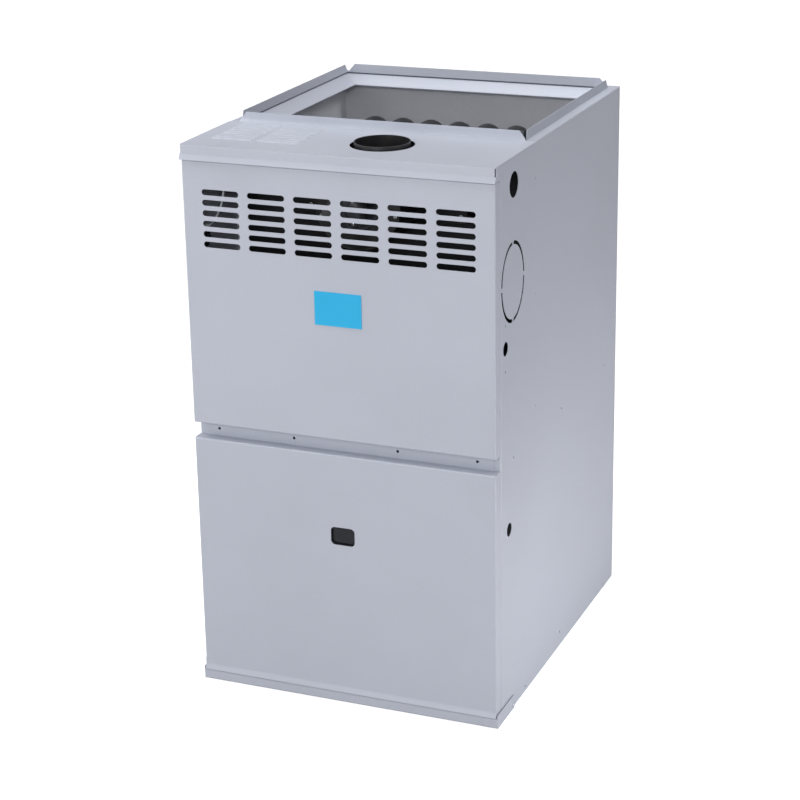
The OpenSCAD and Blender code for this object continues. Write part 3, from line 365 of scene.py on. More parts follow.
def foil():
    """Matt aluminium facing over the insulation, softly creased."""
    tree, shader = new_finish("foil", Metallic=0.1)
    place = place_of(tree)
    creases = add(tree, "TexVoronoi", {"Vector": place, "Scale": 24.0, "Randomness": 1.0},
                  feature="DISTANCE_TO_EDGE").outputs["Distance"]
    swell = grainy(tree, place, 9.0)
    fibres = grainy(tree, place, 260.0)
    tone = mixture(tree, swell, 0.6, fibres, 0.4)
    pale = (0.70, 0.715, 0.765)
    height = maths(tree, "ADD", maths(tree, "MULTIPLY", spread(tree, creases, 0.0, 0.08), 0.25), swell)
    dress(tree, shader, blend_colours(tree, tone, shade(pale, 0.88), shade(pale, 1.1)),
          sheen(tree, fibres, 0.42, 0.6), height, 0.0015, 0.5)


def badge_blue():
    """Satin blue enamel of the blank plate."""
    tree, shader = new_finish("badge_blue", Coat_Weight=0.3, Coat_Roughness=0.25)
    skin = use(tree, POWDER_SKIN, Peel=1500.0, Cloud=18.0)
    blue = (0.006, 0.44, 0.78)
    colour = blend_colours(tree, skin["Tone"], shade(blue, 0.93), shade(blue, 1.07))
    colour = rubbed(tree, colour, 0.0007, (0.10, 0.55, 0.86, 1))
    dress(tree, shader, colour, sheen(tree, skin["Tone"], 0.32, 0.44), skin["Height"], 0.00008, 0.2)


def smoked_lens():
    """The dark sight glass: its near-black tint is painted shade for the dark compartment behind a clear
    lens.
    """
    tree, shader = new_finish("smoked_lens", Metallic=0.0, IOR=1.5, Transmission_Weight=0.55)
    smears = grainy(tree, place_of(tree, (1, 1, 4)), 60.0, 4.0)
    # Near-black tint of the lens: painted shade; the smears vary it a little.
    colour = blend_colours(tree, smears, (0.012, 0.013, 0.020, 1), (0.03, 0.032, 0.045, 1))
    dress(tree, shader, colour, spread(tree, smears, 0.4, 0.7, 0.06, 0.16), smears, 0.0001, 0.1)


def aluminised_tube():
    """Dark aluminised steel, blued where it has run hot."""
    tree, shader = new_finish("aluminised_tube", Metallic=0.2)
    skin = use(tree, CAST_SKIN, Grain=700.0)
    along = add(tree, "SeparateXYZ", {0: place_of(tree)}).outputs[1]
    wavering = maths(tree, "ADD", along, maths(tree, "MULTIPLY", skin["Tone"], 0.05))
    heat = add(tree, "ValToRGB", {"Fac": spread(tree, wavering, -0.13, 0.05)})
    stops = heat.color_ramp.elements
    stops[0].position, stops[0].color = 0.0, (0.085, 0.055, 0.035, 1)
    stops[1].position, stops[1].color = 1.0, (0.012, 0.014, 0.017, 1)
    for spot, tint in ((0.25, (0.05, 0.035, 0.05, 1)), (0.5, (0.025, 0.03, 0.05, 1))):
        stops.new(spot).color = tint
    dust = use(tree, SETTLED_DUST, Amount=0.05)["Mask"]
    dulled = spread(tree, skin["Tone"], 0.3, 0.7, 0.0, 0.3)
    colour = blend_colours(tree, dulled, heat.outputs[0], (0.025, 0.027, 0.031, 1))
    colour = blend_colours(tree, dust, colour, (0.20, 0.19, 0.18, 1))
    dress(tree, shader, colour, sheen(tree, skin["Tone"], 0.34, 0.55), skin["Height"], 0.0002, 0.3)


def brass():
    """Turned brass with fine tool lines."""
    tree, shader = new_finish("brass", Metallic=1.0)
    lines = use(tree, FINE_LINES, Stretch=(1, 12, 1), Scale=260.0)["Height"]
    tarnish = grainy(tree, place_of(tree), 55.0, 4.0)
    colour = blend_colours(tree, spread(tree, tarnish, 0.4, 0.7),
                           (0.72, 0.50, 0.20, 1), (0.42, 0.28, 0.12, 1))
    dress(tree, shader, colour, sheen(tree, tarnish, 0.24, 0.45), lines, 0.0001, 0.3)


def cast_aluminium():
    """Die cast body, shot blasted, with bright edges."""
    tree, shader = new_finish("cast_aluminium", Metallic=0.9)
    skin = use(tree, CAST_SKIN, Grain=1100.0)
    grey = (0.50, 0.51, 0.53)
    colour = blend_colours(tree, skin["Tone"], shade(grey, 0.82), shade(grey, 1.12))
    colour = rubbed(tree, colour, 0.0014, shade(grey, 1.5))
    dress(tree, shader, colour, sheen(tree, skin["Tone"], 0.42, 0.58), skin["Height"], 0.0003, 0.4)


def moulded(name, colour, roughness, edge_lift, grain=1200.0):
    """A moulding with its fine spark texture and paler corners."""
    tree, shader = new_finish(name)
    skin = use(tree, CAST_SKIN, Grain=grain)
    body = blend_colours(tree, skin["Tone"], shade(colour, 0.88), shade(colour, 1.12))
    body = rubbed(tree, body, 0.0008, shade(colour, edge_lift))
    dress(tree, shader, body, sheen(tree, skin["Tone"], roughness - 0.06, roughness + 0.08),
          skin["Height"], 0.00015, 0.25)


def ground_steel():
    """Ground shafting."""
    tree, shader = new_finish("ground_steel", Metallic=1.0)
    lines = use(tree, FINE_LINES, Stretch=(8, 8, 1), Scale=200.0)["Height"]
    colour = blend_colours(tree, lines, (0.50, 0.50, 0.52, 1), (0.72, 0.72, 0.74, 1))
    dress(tree, shader, colour, sheen(tree, lines, 0.20, 0.38), lines, 0.00008, 0.25)


def white_hose():
    """Milky silicone hose, a little dusty on top."""
    tree, shader = new_finish("white_hose", Subsurface_Weight=0.15)
    tone = grainy(tree, place_of(tree), 70.0)
    dust = use(tree, SETTLED_DUST, Amount=0.1)["Mask"]
    colour = blend_colours(tree, tone, (0.80, 0.81, 0.82, 1), (0.92, 0.92, 0.92, 1))
    colour = blend_colours(tree, dust, colour, (0.45, 0.44, 0.42, 1))
    dress(tree, shader, colour, sheen(tree, tone, 0.34, 0.5), tone, 0.0004, 0.2)


def board_green():
    """Solder mask over copper tracks."""
    tree, shader = new_finish("board_green", Coat_Weight=0.2, Coat_Roughness=0.3)
    place = place_of(tree)
    tracks = add(tree, "TexBrick", {"Vector": place, "Scale": 34.0, "Mortar Size": 0.03,
                                    "Color1": (0, 0, 0, 1), "Color2": (0.25, 0.25, 0.25, 1),
                                    "Mortar": (1, 1, 1, 1)}).outputs["Color"]
    tone = grainy(tree, place, 120.0)
    green = blend_colours(tree, tone, (0.012, 0.105, 0.045, 1), (0.02, 0.15, 0.065, 1))
    green = blend_colours(tree, tracks, green, (0.05, 0.26, 0.11, 1))
    dress(tree, shader, green, sheen(tree, tone, 0.32, 0.48), tracks, 0.0002, 0.4)


def capacitor_can():
    """Drawn aluminium can with faint draw lines."""
    tree, shader = new_finish("capacitor_can", Metallic=0.95)
    lines = use(tree, FINE_LINES, Stretch=(1, 1, 0.06), Scale=420.0)["Height"]
    colour = blend_colours(tree, lines, (0.55, 0.56, 0.58, 1), (0.74, 0.75, 0.77, 1))
    dress(tree, shader, colour, sheen(tree, lines, 0.28, 0.46), lines, 0.0001, 0.3)


def floor_finish():
    """Pale matt studio floor, brighter to the camera than to the furnace."""
    tree, shader = new_finish("floor_finish", Emission_Color=(1, 1, 1, 1))
    tone = grainy(tree, place_of(tree), 2.0, 6.0)
    pale = blend_colours(tree, tone, (0.95, 0.95, 0.952, 1), (0.97, 0.97, 0.972, 1))
    looked_at = add(tree, "LightPath").outputs["Is Camera Ray"]
    wire(tree, shader["Emission Strength"], maths(tree, "MULTIPLY", looked_at, 0.42))
    dress(tree, shader, blend_colours(tree, looked_at, (0.50, 0.50, 0.505, 1), pale),
          sheen(tree, tone, 0.55, 0.65), grainy(tree, place_of(tree), 300.0), 0.0002, 0.1)


def paints_and_plastics():
    """The coats and mouldings that differ only in their values."""
    # Cool light grey semi-gloss, and satin black that greys at its edges.
    powder_coated("cabinet_paint", PAINT, 0.40)
    powder_coated("black_steel", (0.018, 0.018, 0.020), 0.38, edge_lift=5.0, dust=0.12, clouding=0.2)
    # Near-black sheet in the burner compartment, painted shade for the dark seen through the louvres; and
    # the motors' dusty enamel.
    # dark_sheet's near-black colour is painted shade, not the sheet's own colour.
    powder_coated("dark_sheet", (0.020, 0.021, 0.025), 0.62, edge_lift=3.0, dust=0.15, clouding=0.15)
    powder_coated("motor_paint", (0.055, 0.060, 0.070), 0.36, edge_lift=3.0, dust=0.5, clouding=0.12)
    moulded("red_plastic", (0.52, 0.018, 0.014), 0.30, 1.3)
    moulded("black_plastic", (0.022, 0.022, 0.024), 0.45, 3.0)
    moulded("white_plastic", (0.78, 0.79, 0.80), 0.40, 1.12)
    # Unglazed, slightly pitted and stained.
    moulded("ceramic", (0.74, 0.71, 0.63), 0.62, 1.1, 700.0)


for make_finish in (paints_and_plastics, galvanised, foil, badge_blue, smoked_lens, aluminised_tube, brass,
                    cast_aluminium, ground_steel, white_hose, board_green, capacitor_can, floor_finish):
    make_finish()


# ---------- forms that small pieces are made of ----------

# For each facing: the two directions across it, and the direction itself.
AXES = {"+x": ((0, 1, 0), (0, 0, 1), (1, 0, 0)), "-x": ((0, 0, 1), (0, 1, 0), (-1, 0, 0)),
        "+y": ((0, 0, 1), (1, 0, 0), (0, 1, 0)), "-y": ((1, 0, 0), (0, 0, 1), (0, -1, 0)),
        "+z": ((1, 0, 0), (0, 1, 0), (0, 0, 1)), "-z": ((0, 1, 0), (1, 0, 0), (0, 0, -1))}


def mean_point(points):
    return [sum(c) / len(points) for c in zip(*points)]


class Shape:
    """The points and faces of a piece, gathered form by form. All sizes are in millimetres."""

    def __init__(self):
        self.points = []
        self.faces = []

    def take(self, points, faces):
        start = len(self.points)
        self.points += [tuple(0.001 * c for c in point) for point in points]
        self.faces += [[start + i for i in face] for face in faces]
        return self

    def rings(self, rows, closed=False):
        """Skins rings of points, or single points, one after the other."""
        points, numbers, faces = [], [], []
        for row in rows:
            numbers.append(range(len(points), len(points) + len(row)))
            points += row
        if closed:
            numbers.append(numbers[0])
        for low, high in zip(numbers, numbers[1:]):
            for k in range(max(len(low), len(high))):
                ring = (low[k % len(low)], low[(k + 1) % len(low)],
                        high[(k + 1) % len(high)], high[k % len(high)])
                faces.append(list(dict.fromkeys(ring)))
        return self.take(points, faces)

    def turned(self, profile, centre, facing="+z", steps=32, closed=False, spin=0.0):
        """A turned form, from (radius, distance along the axis) pairs."""
        u, v, w = (Vector(d) for d in AXES[facing])
        turns = [spin + 2 * math.pi * k / steps for k in range(steps)]
        rows = []
        for r, h in profile:
            middle = Vector(centre) + w * h
            rows.append([middle + (u * math.cos(a) + v * math.sin(a)) * r for a in turns] if r else [middle])
        return self.rings(rows, closed)

    def block(self, low, high, edge=0.8):
        """A block with chamfered edges."""
        ends = (low, high)
        corners = list(product((0, 1), repeat=3))
        points = [[ends[c[i]][i] + (0 if i == flat else edge * (1 - 2 * c[i])) for i in range(3)]
                  for c in corners for flat in range(3)]
        number = {(c, flat): 3 * n + flat for n, c in enumerate(corners) for flat in range(3)}
        faces = [[number[c, flat] for flat in range(3)] for c in corners]
        for flat in range(3):
            def corner(along, a, b):
                c = [0, 0, 0]
                c[flat], c[(flat + 1) % 3], c[(flat + 2) % 3] = along, a, b
                return tuple(c)
            for side in (0, 1):
                faces.append([number[corner(side, a, b), flat] for a, b in ((0, 0), (1, 0), (1, 1), (0, 1))])
            a_flat, b_flat = (flat + 1) % 3, (flat + 2) % 3
            for a, b in product((0, 1), repeat=2):
                one, other = corner(0, a, b), corner(1, a, b)
                faces.append([number[one, a_flat], number[one, b_flat],
                              number[other, b_flat], number[other, a_flat]])
        return self.take(points, faces)

    def prism(self, outline, span, facing="+z", centre=(0, 0, 0), edge=0.0):
        """An outline of (u, v) pairs carried along an axis, with its two rims chamfered."""
        u, v, w = (Vector(d) for d in AXES[facing])
        middle = Vector(mean_point(outline))
        size = sum((Vector(p) - middle).length for p in outline) / len(outline)
        rows = []
        for h, inset in ((span[0], edge), (span[0] + edge, 0), (span[1] - edge, 0), (span[1], edge)):
            drawn = [middle + (Vector(p) - middle) * (1 - inset / size) for p in outline]
            rows.append([Vector(centre) + u * p.x + v * p.y + w * h for p in drawn])
        n = len(outline)
        self.take(rows[0] + rows[-1], [list(range(n))[::-1], list(range(n, 2 * n))])
        return self.rings(rows)

    def strip(self, line, thickness, span, facing="+z", centre=(0, 0, 0)):
        """A bent strip of sheet, from the middle line of its section."""
        line = [Vector(p) for p in line]
        last = len(line) - 1
        sides = []
        for i, p in enumerate(line):
            along = (line[min(i + 1, last)] - line[max(i - 1, 0)]).normalized()
            sides.append(Vector((-along.y, along.x)) * thickness / 2)
        outline = [p + q for p, q in zip(line, sides)] + [p - q for p, q in list(zip(line, sides))[::-1]]
        return self.prism(outline, span, facing, centre)

    def pipe(self, path, radius, sides=10, closed=False):
        """A round bar along a path."""
        path = [Vector(p) for p in path]
        last = len(path) - 1
        rows, side = [], None
        for i, p in enumerate(path):
            before = path[i - 1] if i or closed else p
            after = path[(i + 1) % len(path)] if i < last or closed else p
            along = (after - before).normalized()
            side = along.orthogonal() if side is None else side
            side = (side - along * side.dot(along)).normalized()
            over = along.cross(side)
            rows.append([p + (side * math.cos(a) + over * math.sin(a)) * radius
                         for a in (2 * math.pi * k / sides for k in range(sides))])
        if not closed:
            rows = [[path[0]]] + rows + [[path[-1]]]
        return self.rings(rows, closed)

    def hex_screw(self, place, facing, size=4.2, height=4.4):
        """A hex head on its washer, dished on top; size is the washer's radius."""
        self.turned([(0, -0.1), (size, -0.1), (size, 0.18 * height), (0.9 * size, 0.27 * height),
                     (0, 0.27 * height)], place, facing, 24)
        return self.turned([(0.76 * size, 0.2 * height), (0.76 * size, 0.84 * height), (0.66 * size, height),
                            (0.42 * size, height), (0.34 * size, 0.7 * height), (0, 0.7 * height)],
                           place, facing, 6)

    def pan_screw(self, place, facing, size=3.4, height=2.2):
        """A pan head with its driving recess."""
        self.turned([(0, -0.1), (size, -0.1), (size, 0.4 * height), (0.86 * size, 0.8 * height),
                     (0.55 * size, height), (0.42 * size, height)], place, facing, 24)
        return self.turned([(0.42 * size, height), (0.2 * size, 0.45 * height), (0, 0.4 * height)],
                           place, facing, 4)

    def blade_terminal(self, low, high):
        """A push-on tab with narrow chamfers."""
        return self.block(low, high, 0.25)


def smooth_path(points, steps):
    """A curve through the points."""
    points = [Vector(p) for p in points]
    last = len(points) - 1
    path = []
    for i in range(last):
        a, b, c, d = (points[max(i - 1, 0)], points[i], points[i + 1], points[min(i + 2, last)])
        for k in range(steps):
            t = k / steps
            path.append(0.5 * (2 * b + (c - a) * t + (2 * a - 5 * b + 4 * c - d) * t * t
                               + (3 * b - a - 3 * c + d) * t ** 3))
    return path + [points[-1]]


def rounded_outline(x, z, w, h, r):
    """The (x, z) outline of a rectangle with round corners."""
    outline, steps = [], 6
    for turn, (sx, sz) in enumerate(((1, 1), (-1, 1), (-1, -1), (1, -1))):
        for k in range(steps + 1):
            a = math.pi / 2 * (turn + k / steps)
            outline.append((x + sx * (w / 2 - r) + r * math.cos(a), z + sz * (h / 2 - r) + r * math.sin(a)))
    return outline


def on_circle(middle, radius, turn):
    """The point of a circle at a turn in degrees, as a pair."""
    a = math.radians(turn)
    return middle[0] + radius * math.cos(a), middle[1] + radius * math.sin(a)


def scroll_radius(small, large, turn):
    """How far out a fan casing's wall lies at a turn between 90 and 360 degrees."""
    return small + (large - small) * (turn - 90) / 270


def fan_scroll(small, large, inlet_side, top):
    """The outline of a fan casing that winds out from over its wheel to an outlet pointing up."""
    wound = [on_circle((0, 0), scroll_radius(small, large, turn), turn) for turn in range(90, 361, 5)]
    return wound + [(large, top), (inlet_side, top), (inlet_side, small + 1)]


def piece(name, shape, slot, body="cabinet", stands_for=(), crease=35):
    """Makes a piece of the shape, in a finish, and fixes it to what carries it."""
    mesh = bpy.data.meshes.new(name)
    mesh.from_pydata(shape.points, [], shape.faces)
    work = bmesh.new()
    work.from_mesh(mesh)
    bmesh.ops.recalc_face_normals(work, faces=work.faces)
    work.to_mesh(mesh)
    work.free()
    mesh.shade_smooth()
    mesh.set_sharp_from_angle(angle=math.radians(crease))
    mesh.materials.append(FINISHES[slot])
    made = placed(name, mesh)
    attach(made, body)
    if stands_for:
        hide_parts(*stands_for)


# ---------- cabinet and doors ----------

def cabinet_hex_screws():
    """The screws of the rear edges and of the base rail's ends."""
    shape = Shape()
    for side, facing in SIDES:
        for z in (64, 361, 656, 994):
            shape.hex_screw((278 * side, 351.5, z), "+y", 4.2, 4.6)
        shape.hex_screw((289.5 * side, -270.5, 9), facing, 4.2, 2.1)
    piece("cabinet_hex_screws", shape, "galvanised", stands_for=("cabinet_screws",))


def sight_glass_gasket():
    """The rubber channel round the lens's flange, behind the lower door's face."""
    rows = []
    for grow, y in ((5.0, -349.2), (7.6, -349.2), (8.4, -348.0), (8.4, -343.4), (7.0, -342.4),
                    (3.0, -342.4), (3.0, -343.4), (5.0, -343.4)):
        outline = rounded_outline(-1.2, 326.5, 46 + 2 * grow, 34 + 2 * grow, 8 + grow)
        rows.append([(x, y, z) for x, z in outline])
    piece("sight_glass_gasket", Shape().rings(rows, closed=True), "black_plastic", "lower_door")


def lower_door_liner():
    """The foil-faced pad inside the lower door, with a gap round the sight glass, and its pins."""
    pad, pins = Shape(), Shape()
    front, back = -349.2, -342.2
    for (x0, z0), (x1, z1) in (((-272, 48), (272, 276)), ((-272, 377), (272, 436)),
                               ((-272, 276), (-48, 377)), ((46, 276), (272, 377))):
        pad.block((x0, front, z0), (x1, back, z1), 1.6)
    washer = [(0, 0), (10, 0), (10.4, 0.4), (9.6, 0.9), (3, 1.3), (1.2, 2.2), (0, 2.3)]
    for x, z in product((-220, -75, 75, 220), (90, 230, 408)):
        pins.turned(washer, (x, back, z), "+y", 24)
    piece("lower_door_liner", pad, "foil", "lower_door")
    piece("lower_door_liner_pins", pins, "ground_steel", "lower_door")


def liner_pins():
    """Pins with washers that hold the liner boards to the walls."""
    shape = Shape()
    washer = [(0, -0.1), (13, -0.1), (13.4, 0.3), (12.4, 0.8), (4, 1.3), (1.5, 2.4), (0, 2.5)]
    for z in (560, 760):
        for y in (-60, 90, 240):
            shape.turned(washer, (-276, y, z), "+x", 24)
            shape.turned(washer, (276, y, z), "-x", 24)
        for x in (-150, 0, 150):
            shape.turned(washer, (x, 339.5, z), "-y", 24)
    piece("liner_pins", shape, "galvanised")


def compartment_screws():
    """Sheet-metal screws of the vestibule panel and of the boxes in front of it."""
    shape = Shape()
    for side in (1, -1):
        for z in (505, 590, 740, 850, 960):
            shape.hex_screw((262 * side, -147.5, z), "-y", 4.2, 3.6)
        for z, x in product((882, 963), (164, 120)):
            shape.hex_screw((x * side, -183, z), "-y", 3.8, 3.2)
        for x in (30, 90, 150):
            shape.hex_screw((x * side, -228, 706), "+z", 3.6, 3.0)
    piece("compartment_screws", shape, "galvanised")


# ---------- heat exchanger and burners ----------

def tube_flares():
    """The tubes' ends, rolled over on the front of the vestibule panel."""
    shape = Shape()
    rolled = [(20.6, 0.4), (20.8, 1.6), (22.5, 2.3), (24.2, 1.6), (24.4, -0.2), (22.5, -0.2)]
    for x, z in product(TUBES_ACROSS, (TUBE_PASSES[0], TUBE_PASSES[-1])):
        shape.turned(rolled, (x, -147.6, z), "-y", 36, closed=True)
    piece("tube_flares", shape, "aluminised_tube")


def tube_collars():
    """Swaged rings where the tubes pass their support."""
    shape = Shape()
    ring = [(21.9, -1.4), (23.1, -0.9), (23.4, 0), (23.1, 0.9), (21.9, 1.4)]
    for x, z, y in product(TUBES_ACROSS, TUBE_PASSES, (96.6, 102.9)):
        shape.turned(ring, (x, y, z), "+y", 36)
    piece("tube_collars", shape, "aluminised_tube")


def probe_terminals():
    """Tabs, ribs and screws of the igniter and the flame sensor."""
    metal, ribs = Shape(), Shape()
    y = -175
    for x in (-142.5, 142.5):
        metal.blade_terminal((x - 3, y - 0.4, 721.5), (x + 3, y + 0.4, 730))
        for dx in (-8, 8):
            metal.pan_screw((x + dx, y, 707.5), "+z", 1.9, 1.5)
        for z in (710, 713.5, 717):
            ribs.turned([(5.9, -0.9), (6.9, -0.4), (6.9, 0.4), (5.9, 0.9)], (x, y, z), "+z", 28)
    piece("probe_terminals", metal, "ground_steel")
    piece("probe_ribs", ribs, "ceramic")


def rollout_fittings():
    """Crimped rims, tabs and screws of the two rollout switches."""
    shape = Shape()
    y = -200
    for x in (-100, 100):
        shape.turned([(8.4, 708.6), (9.2, 709), (9.4, 711), (8.4, 711.6)], (x, y, 0), "+z", 32)
        shape.turned([(3.0, 717.9), (4.6, 717.9), (4.8, 719.2), (4.2, 719.8), (3.0, 719.8)],
                     (x, y, 0), "+z", 24, closed=True)
        for dy in (-6.2, 6.2):
            shape.blade_terminal((x - 3, y + dy - 0.4, 717.5), (x + 3, y + dy + 0.4, 725))
        for dx in (-11.5, 11.5):
            shape.pan_screw((x + dx, y, 707.5), "+z", 2.2, 1.6)
    piece("rollout_fittings", shape, "ground_steel")


def limit_switch_fittings():
    """Crimped rim, screws and tabs of the limit switch."""
    shape = Shape()
    x, y, z = -90, -149, 800
    shape.turned([(11.9, 3), (12.8, 3.4), (12.9, 5.2), (11.9, 5.8)], (x, y, z), "-y", 32)
    for dx in (-16, 16):
        shape.pan_screw((x + dx, y, z), "-y", 2.6, 1.8)
    for dx in (-6, 6):
        shape.blade_terminal((x + dx - 0.4, -169.5, z - 3), (x + dx + 0.4, -161, z + 3))
    piece("limit_switch_fittings", shape, "ground_steel")


def gas_valve_fittings():
    """Cover plate, cap screws, regulator cap, test plug, outlet nut and terminals of the gas valve."""
    cast, steel, black = Shape(), Shape(), Shape()
    cast.prism(rounded_outline(226, 668, 62, 54, 7), (300, 303.4), "-y", edge=1.2)
    cast.prism(rounded_outline(226, 641, 30, 6, 2.5), (300, 305), "-y", edge=0.8)
    cast.turned([(15, 0), (17.5, 1), (17.5, 7), (15, 8)], (190, *MANIFOLD), "-x", 6)
    for z, x in product((646, 690), (200, 252)):
        steel.pan_screw((x, -303.4, z), "-y", 3.0, 2.2)
    steel.turned([(0, 0), (7.5, 0), (7.5, 4), (6.6, 5), (2.6, 5), (2.2, 3), (0, 3)],
                 (247, -303.2, 658), "-y", 28)
    steel.turned([(4.6, 0), (4.6, 4), (3.6, 5), (0, 5)], (205, -303.2, 662), "-y", 6)
    black.block((196, -292, 699.5), (206, -246, 708), 1.2)
    for y in (-286, -274, -262, -252):
        steel.blade_terminal((198, y - 0.4, 707.5), (204, y + 0.4, 715))
    piece("gas_valve_cover", cast, "cast_aluminium")
    piece("gas_valve_screws", steel, "ground_steel")
    piece("gas_valve_socket", black, "black_plastic")


def gas_manifold_fittings():
    """Hex plug at the manifold's closed end, and the welds of its feet."""
    shape = Shape()
    shape.turned([(0, 0), (9.5, 0), (9.5, 5), (8.2, 6.2), (0, 6.2)], (-164.6, *MANIFOLD), "-x", 6)
    shape.turned([(11.2, 0), (12.4, 0.6), (12.4, 3.4), (11.2, 4)], (-164, *MANIFOLD), "+x", 32)
    for x, side in product((-160, 160), (-1, 1)):
        shape.pipe([(x + 5 * side, -259.6, 662), (x + 5.4 * side, -259.2, 668),
                    (x + 5 * side, -259.6, 674)], 1.2, 8)
    piece("gas_manifold_fittings", shape, "black_steel")


# ---------- draught inducer ----------

def inducer_motor_case():
    """End bells, stack of laminations, screws, feet and mounting plate of the inducer's motor."""
    case, stack, screws = Shape(), Shape(), Shape()
    middle = (INDUCER[0], -326, INDUCER[1])
    front_bell = [(4.2, 1), (11, 0), (12, 1.4), (25, 2), (31, 4), (34, 8), (34.6, 11), (34.6, 12.5)]
    rear_bell = [(34.6, 26.5), (34.6, 28), (34, 31), (31, 35.5), (25, 38), (4.2, 38)]
    plate = [(4.2, 49.5), (40, 49.5), (44, 48.6), (46, 49.4), (46, 50.9), (4.2, 50.9)]
    for profile in (front_bell, rear_bell, plate):
        case.turned(profile, middle, "+y", 48)
    ridges = [(33.5, 11.5)]
    for k in range(10):
        ridges += [(36, 11.6 + 1.5 * k), (36, 12.7 + 1.5 * k), (35.3, 12.9 + 1.5 * k)]
    stack.turned(ridges + [(33.5, 26.8)], middle, "+y", 48)
    foot = [(3.5, 0), (3.5, 4), (6, 4.6), (6.4, 7), (6, 9.4), (3.5, 10), (3.5, 14)]
    for turn in (30, 150, 270):
        x, z = on_circle(INDUCER, 28, turn)
        case.turned(foot, (x, -289, z), "+y", 20)
        x, z = on_circle(INDUCER, 40, turn)
        screws.pan_screw((x, -276.5, z), "-y", 3, 2)
    for turn in (45, 135, 225, 315):
        x, z = on_circle(INDUCER, 27, turn)
        screws.hex_screw((x, -323.8, z), "-y", 2.6, 1.9)
    piece("inducer_motor_case", case, "motor_paint", stands_for=("inducer_motor",))
    piece("inducer_motor_stack", stack, "black_steel")
    piece("inducer_motor_screws", screws, "ground_steel")


def inducer_cooling_fan():
    """Six twisted blades on a hub with its set screw."""
    shape = Shape()
    hub = (INDUCER[0], -333, INDUCER[1])
    section = ((1, 0.4), (0, 1), (-1, 0.4), (-1, -0.4), (0, -1), (1, -0.4))
    for blade in range(6):
        turn = math.radians(60 * blade)
        out = Vector((math.cos(turn), 0, -math.sin(turn)))
        across = Vector((-math.sin(turn), 0, -math.cos(turn)))
        rows = []
        for r, chord, tilt in ((8, 3.6, 52), (14, 4.6, 46), (22, 5.4, 39), (30, 5.6, 33), (33, 5.0, 30),
                               (34, 3.2, 29)):
            lean = math.radians(tilt)
            along = across * math.cos(lean) + Vector((0, math.sin(lean), 0))
            thick = out.cross(along).normalized() * 0.55
            middle = Vector(hub) + out * math.sqrt(r * r - (chord * math.cos(lean)) ** 2)
            rows.append([middle + along * chord * a + thick * b for a, b in section])
        shape.rings([[Vector(mean_point(rows[0]))]] + rows + [[Vector(mean_point(rows[-1]))]])
    shape.turned([(4.05, 0), (8.6, 0), (10, 1.2), (10, 6.8), (8.6, 8), (4.05, 8)],
                 (INDUCER[0], -337, INDUCER[1]), "+y", 32, closed=True)
    shape.turned([(2, 9.6), (2, 10.6), (1, 10.6), (0.8, 9.9), (0, 9.9)], hub, "+z", 12)
    piece("inducer_cooling_fan", shape, "motor_paint", "inducer_rotor", ("inducer_fan",))


def inducer_housing_seams():
    """The rolled rims of the inducer's scroll, and its cover screws."""
    rims, screws = Shape(), Shape()
    small, large = 62, 86
    for y in (-274.2, -183.8):
        rims.pipe([(INDUCER[0] + u, y, INDUCER[1] + v) for u, v in fan_scroll(small, large, 3, 64)],
                  1.5, 8, closed=True)
    for turn in range(100, 351, 50):
        x, z = on_circle(INDUCER, scroll_radius(small, large, turn) - 7, turn)
        screws.hex_screw((x, -275, z), "-y", 3.4, 2.8)
    piece("inducer_housing_seams", rims, "black_steel")
    piece("inducer_housing_screws", screws, "galvanised")


def flue_collar_bead():
    """The rolled rim and stop bead of the flue collar."""
    shape = Shape()
    shape.turned([(47.2, 31.4), (48.4, 31.7), (48.5, 30.8), (48.5, 29.4)], FLUE_FOOT, "+z", 64)
    shape.turned([(48.3, 3), (49.8, 4), (50.2, 5.4), (49.8, 6.8), (48.3, 7.8)], FLUE_FOOT, "+z", 64)
    piece("flue_collar_bead", shape, "black_steel")


def pressure_switch_case():
    """Ribbed case of the pressure switch, with rim screws and tabs."""
    case, metal = Shape(), Shape()
    case.turned([(0, 0), (26.6, 0), (27, 0.6), (27, 4), (26.2, 4.8), (18.2, 4.8), (17, 4), (15, 5.4),
                 (15, 13.4), (13.6, 15), (4.2, 15), (3.4, 13.6), (0, 13.6)],
                (-286, *PRESSURE_SWITCH), "+x", 48)
    for turn in range(0, 360, 60):
        foot = Vector((-281.4, *on_circle(PRESSURE_SWITCH, 16.4, turn)))
        outward = Vector((0, *on_circle((0, 0), 1, turn)))
        case.pipe([foot, foot + Vector((3, 0, 0)) - outward * 0.8], 1.3, 8)
    for turn in (20, 160, 200, 250, 290, 340):
        metal.pan_screw((-281.2, *on_circle(PRESSURE_SWITCH, 22.6, turn)), "+x", 2.2, 1.4)
    for z in (830, 842):
        metal.blade_terminal((-271.5, -298, z - 0.4), (-264, -292, z + 0.4))
    piece("pressure_switch_case", case, "black_plastic", stands_for=("pressure_switch",))
    piece("pressure_switch_fittings", metal, "ground_steel")


def pressure_hose():
    """The hose up behind the louvres and over to the collector box, with a boot at the switch."""
    route = [(-281, -300, 858), (-275, -300, 858), (-269, -300, 858.5), (-258, -300, 866),
             (-247, -300, 881.5), (-238.5, -300, 900.5), (-233.8, -300, 920), (-229, -295, 950),
             (-221, -280, 975), (-203, -250, 992), (-170, -215, 998), (-142, -187, 996),
             (-124, -170, 988), (-120, -166, 975)]
    path = smooth_path(route, 8)
    shape = Shape().pipe(path[14:], 1.9, 16)
    for last, radius in ((17, 5.4), (19, 4.3), (21, 3.1)):
        shape.pipe(path[1:last], radius, 24)
    shape.turned([(1.9, 0.2), (3.4, 0.2), (3.7, 1), (3.7, 6), (3.0, 7.4), (1.9, 8)],
                 (-120.3, -166.3, 975), "+z", 24)
    piece("pressure_hose", shape, "white_hose", stands_for=("pressure_tube",), crease=50)


# ---------- circulating blower ----------

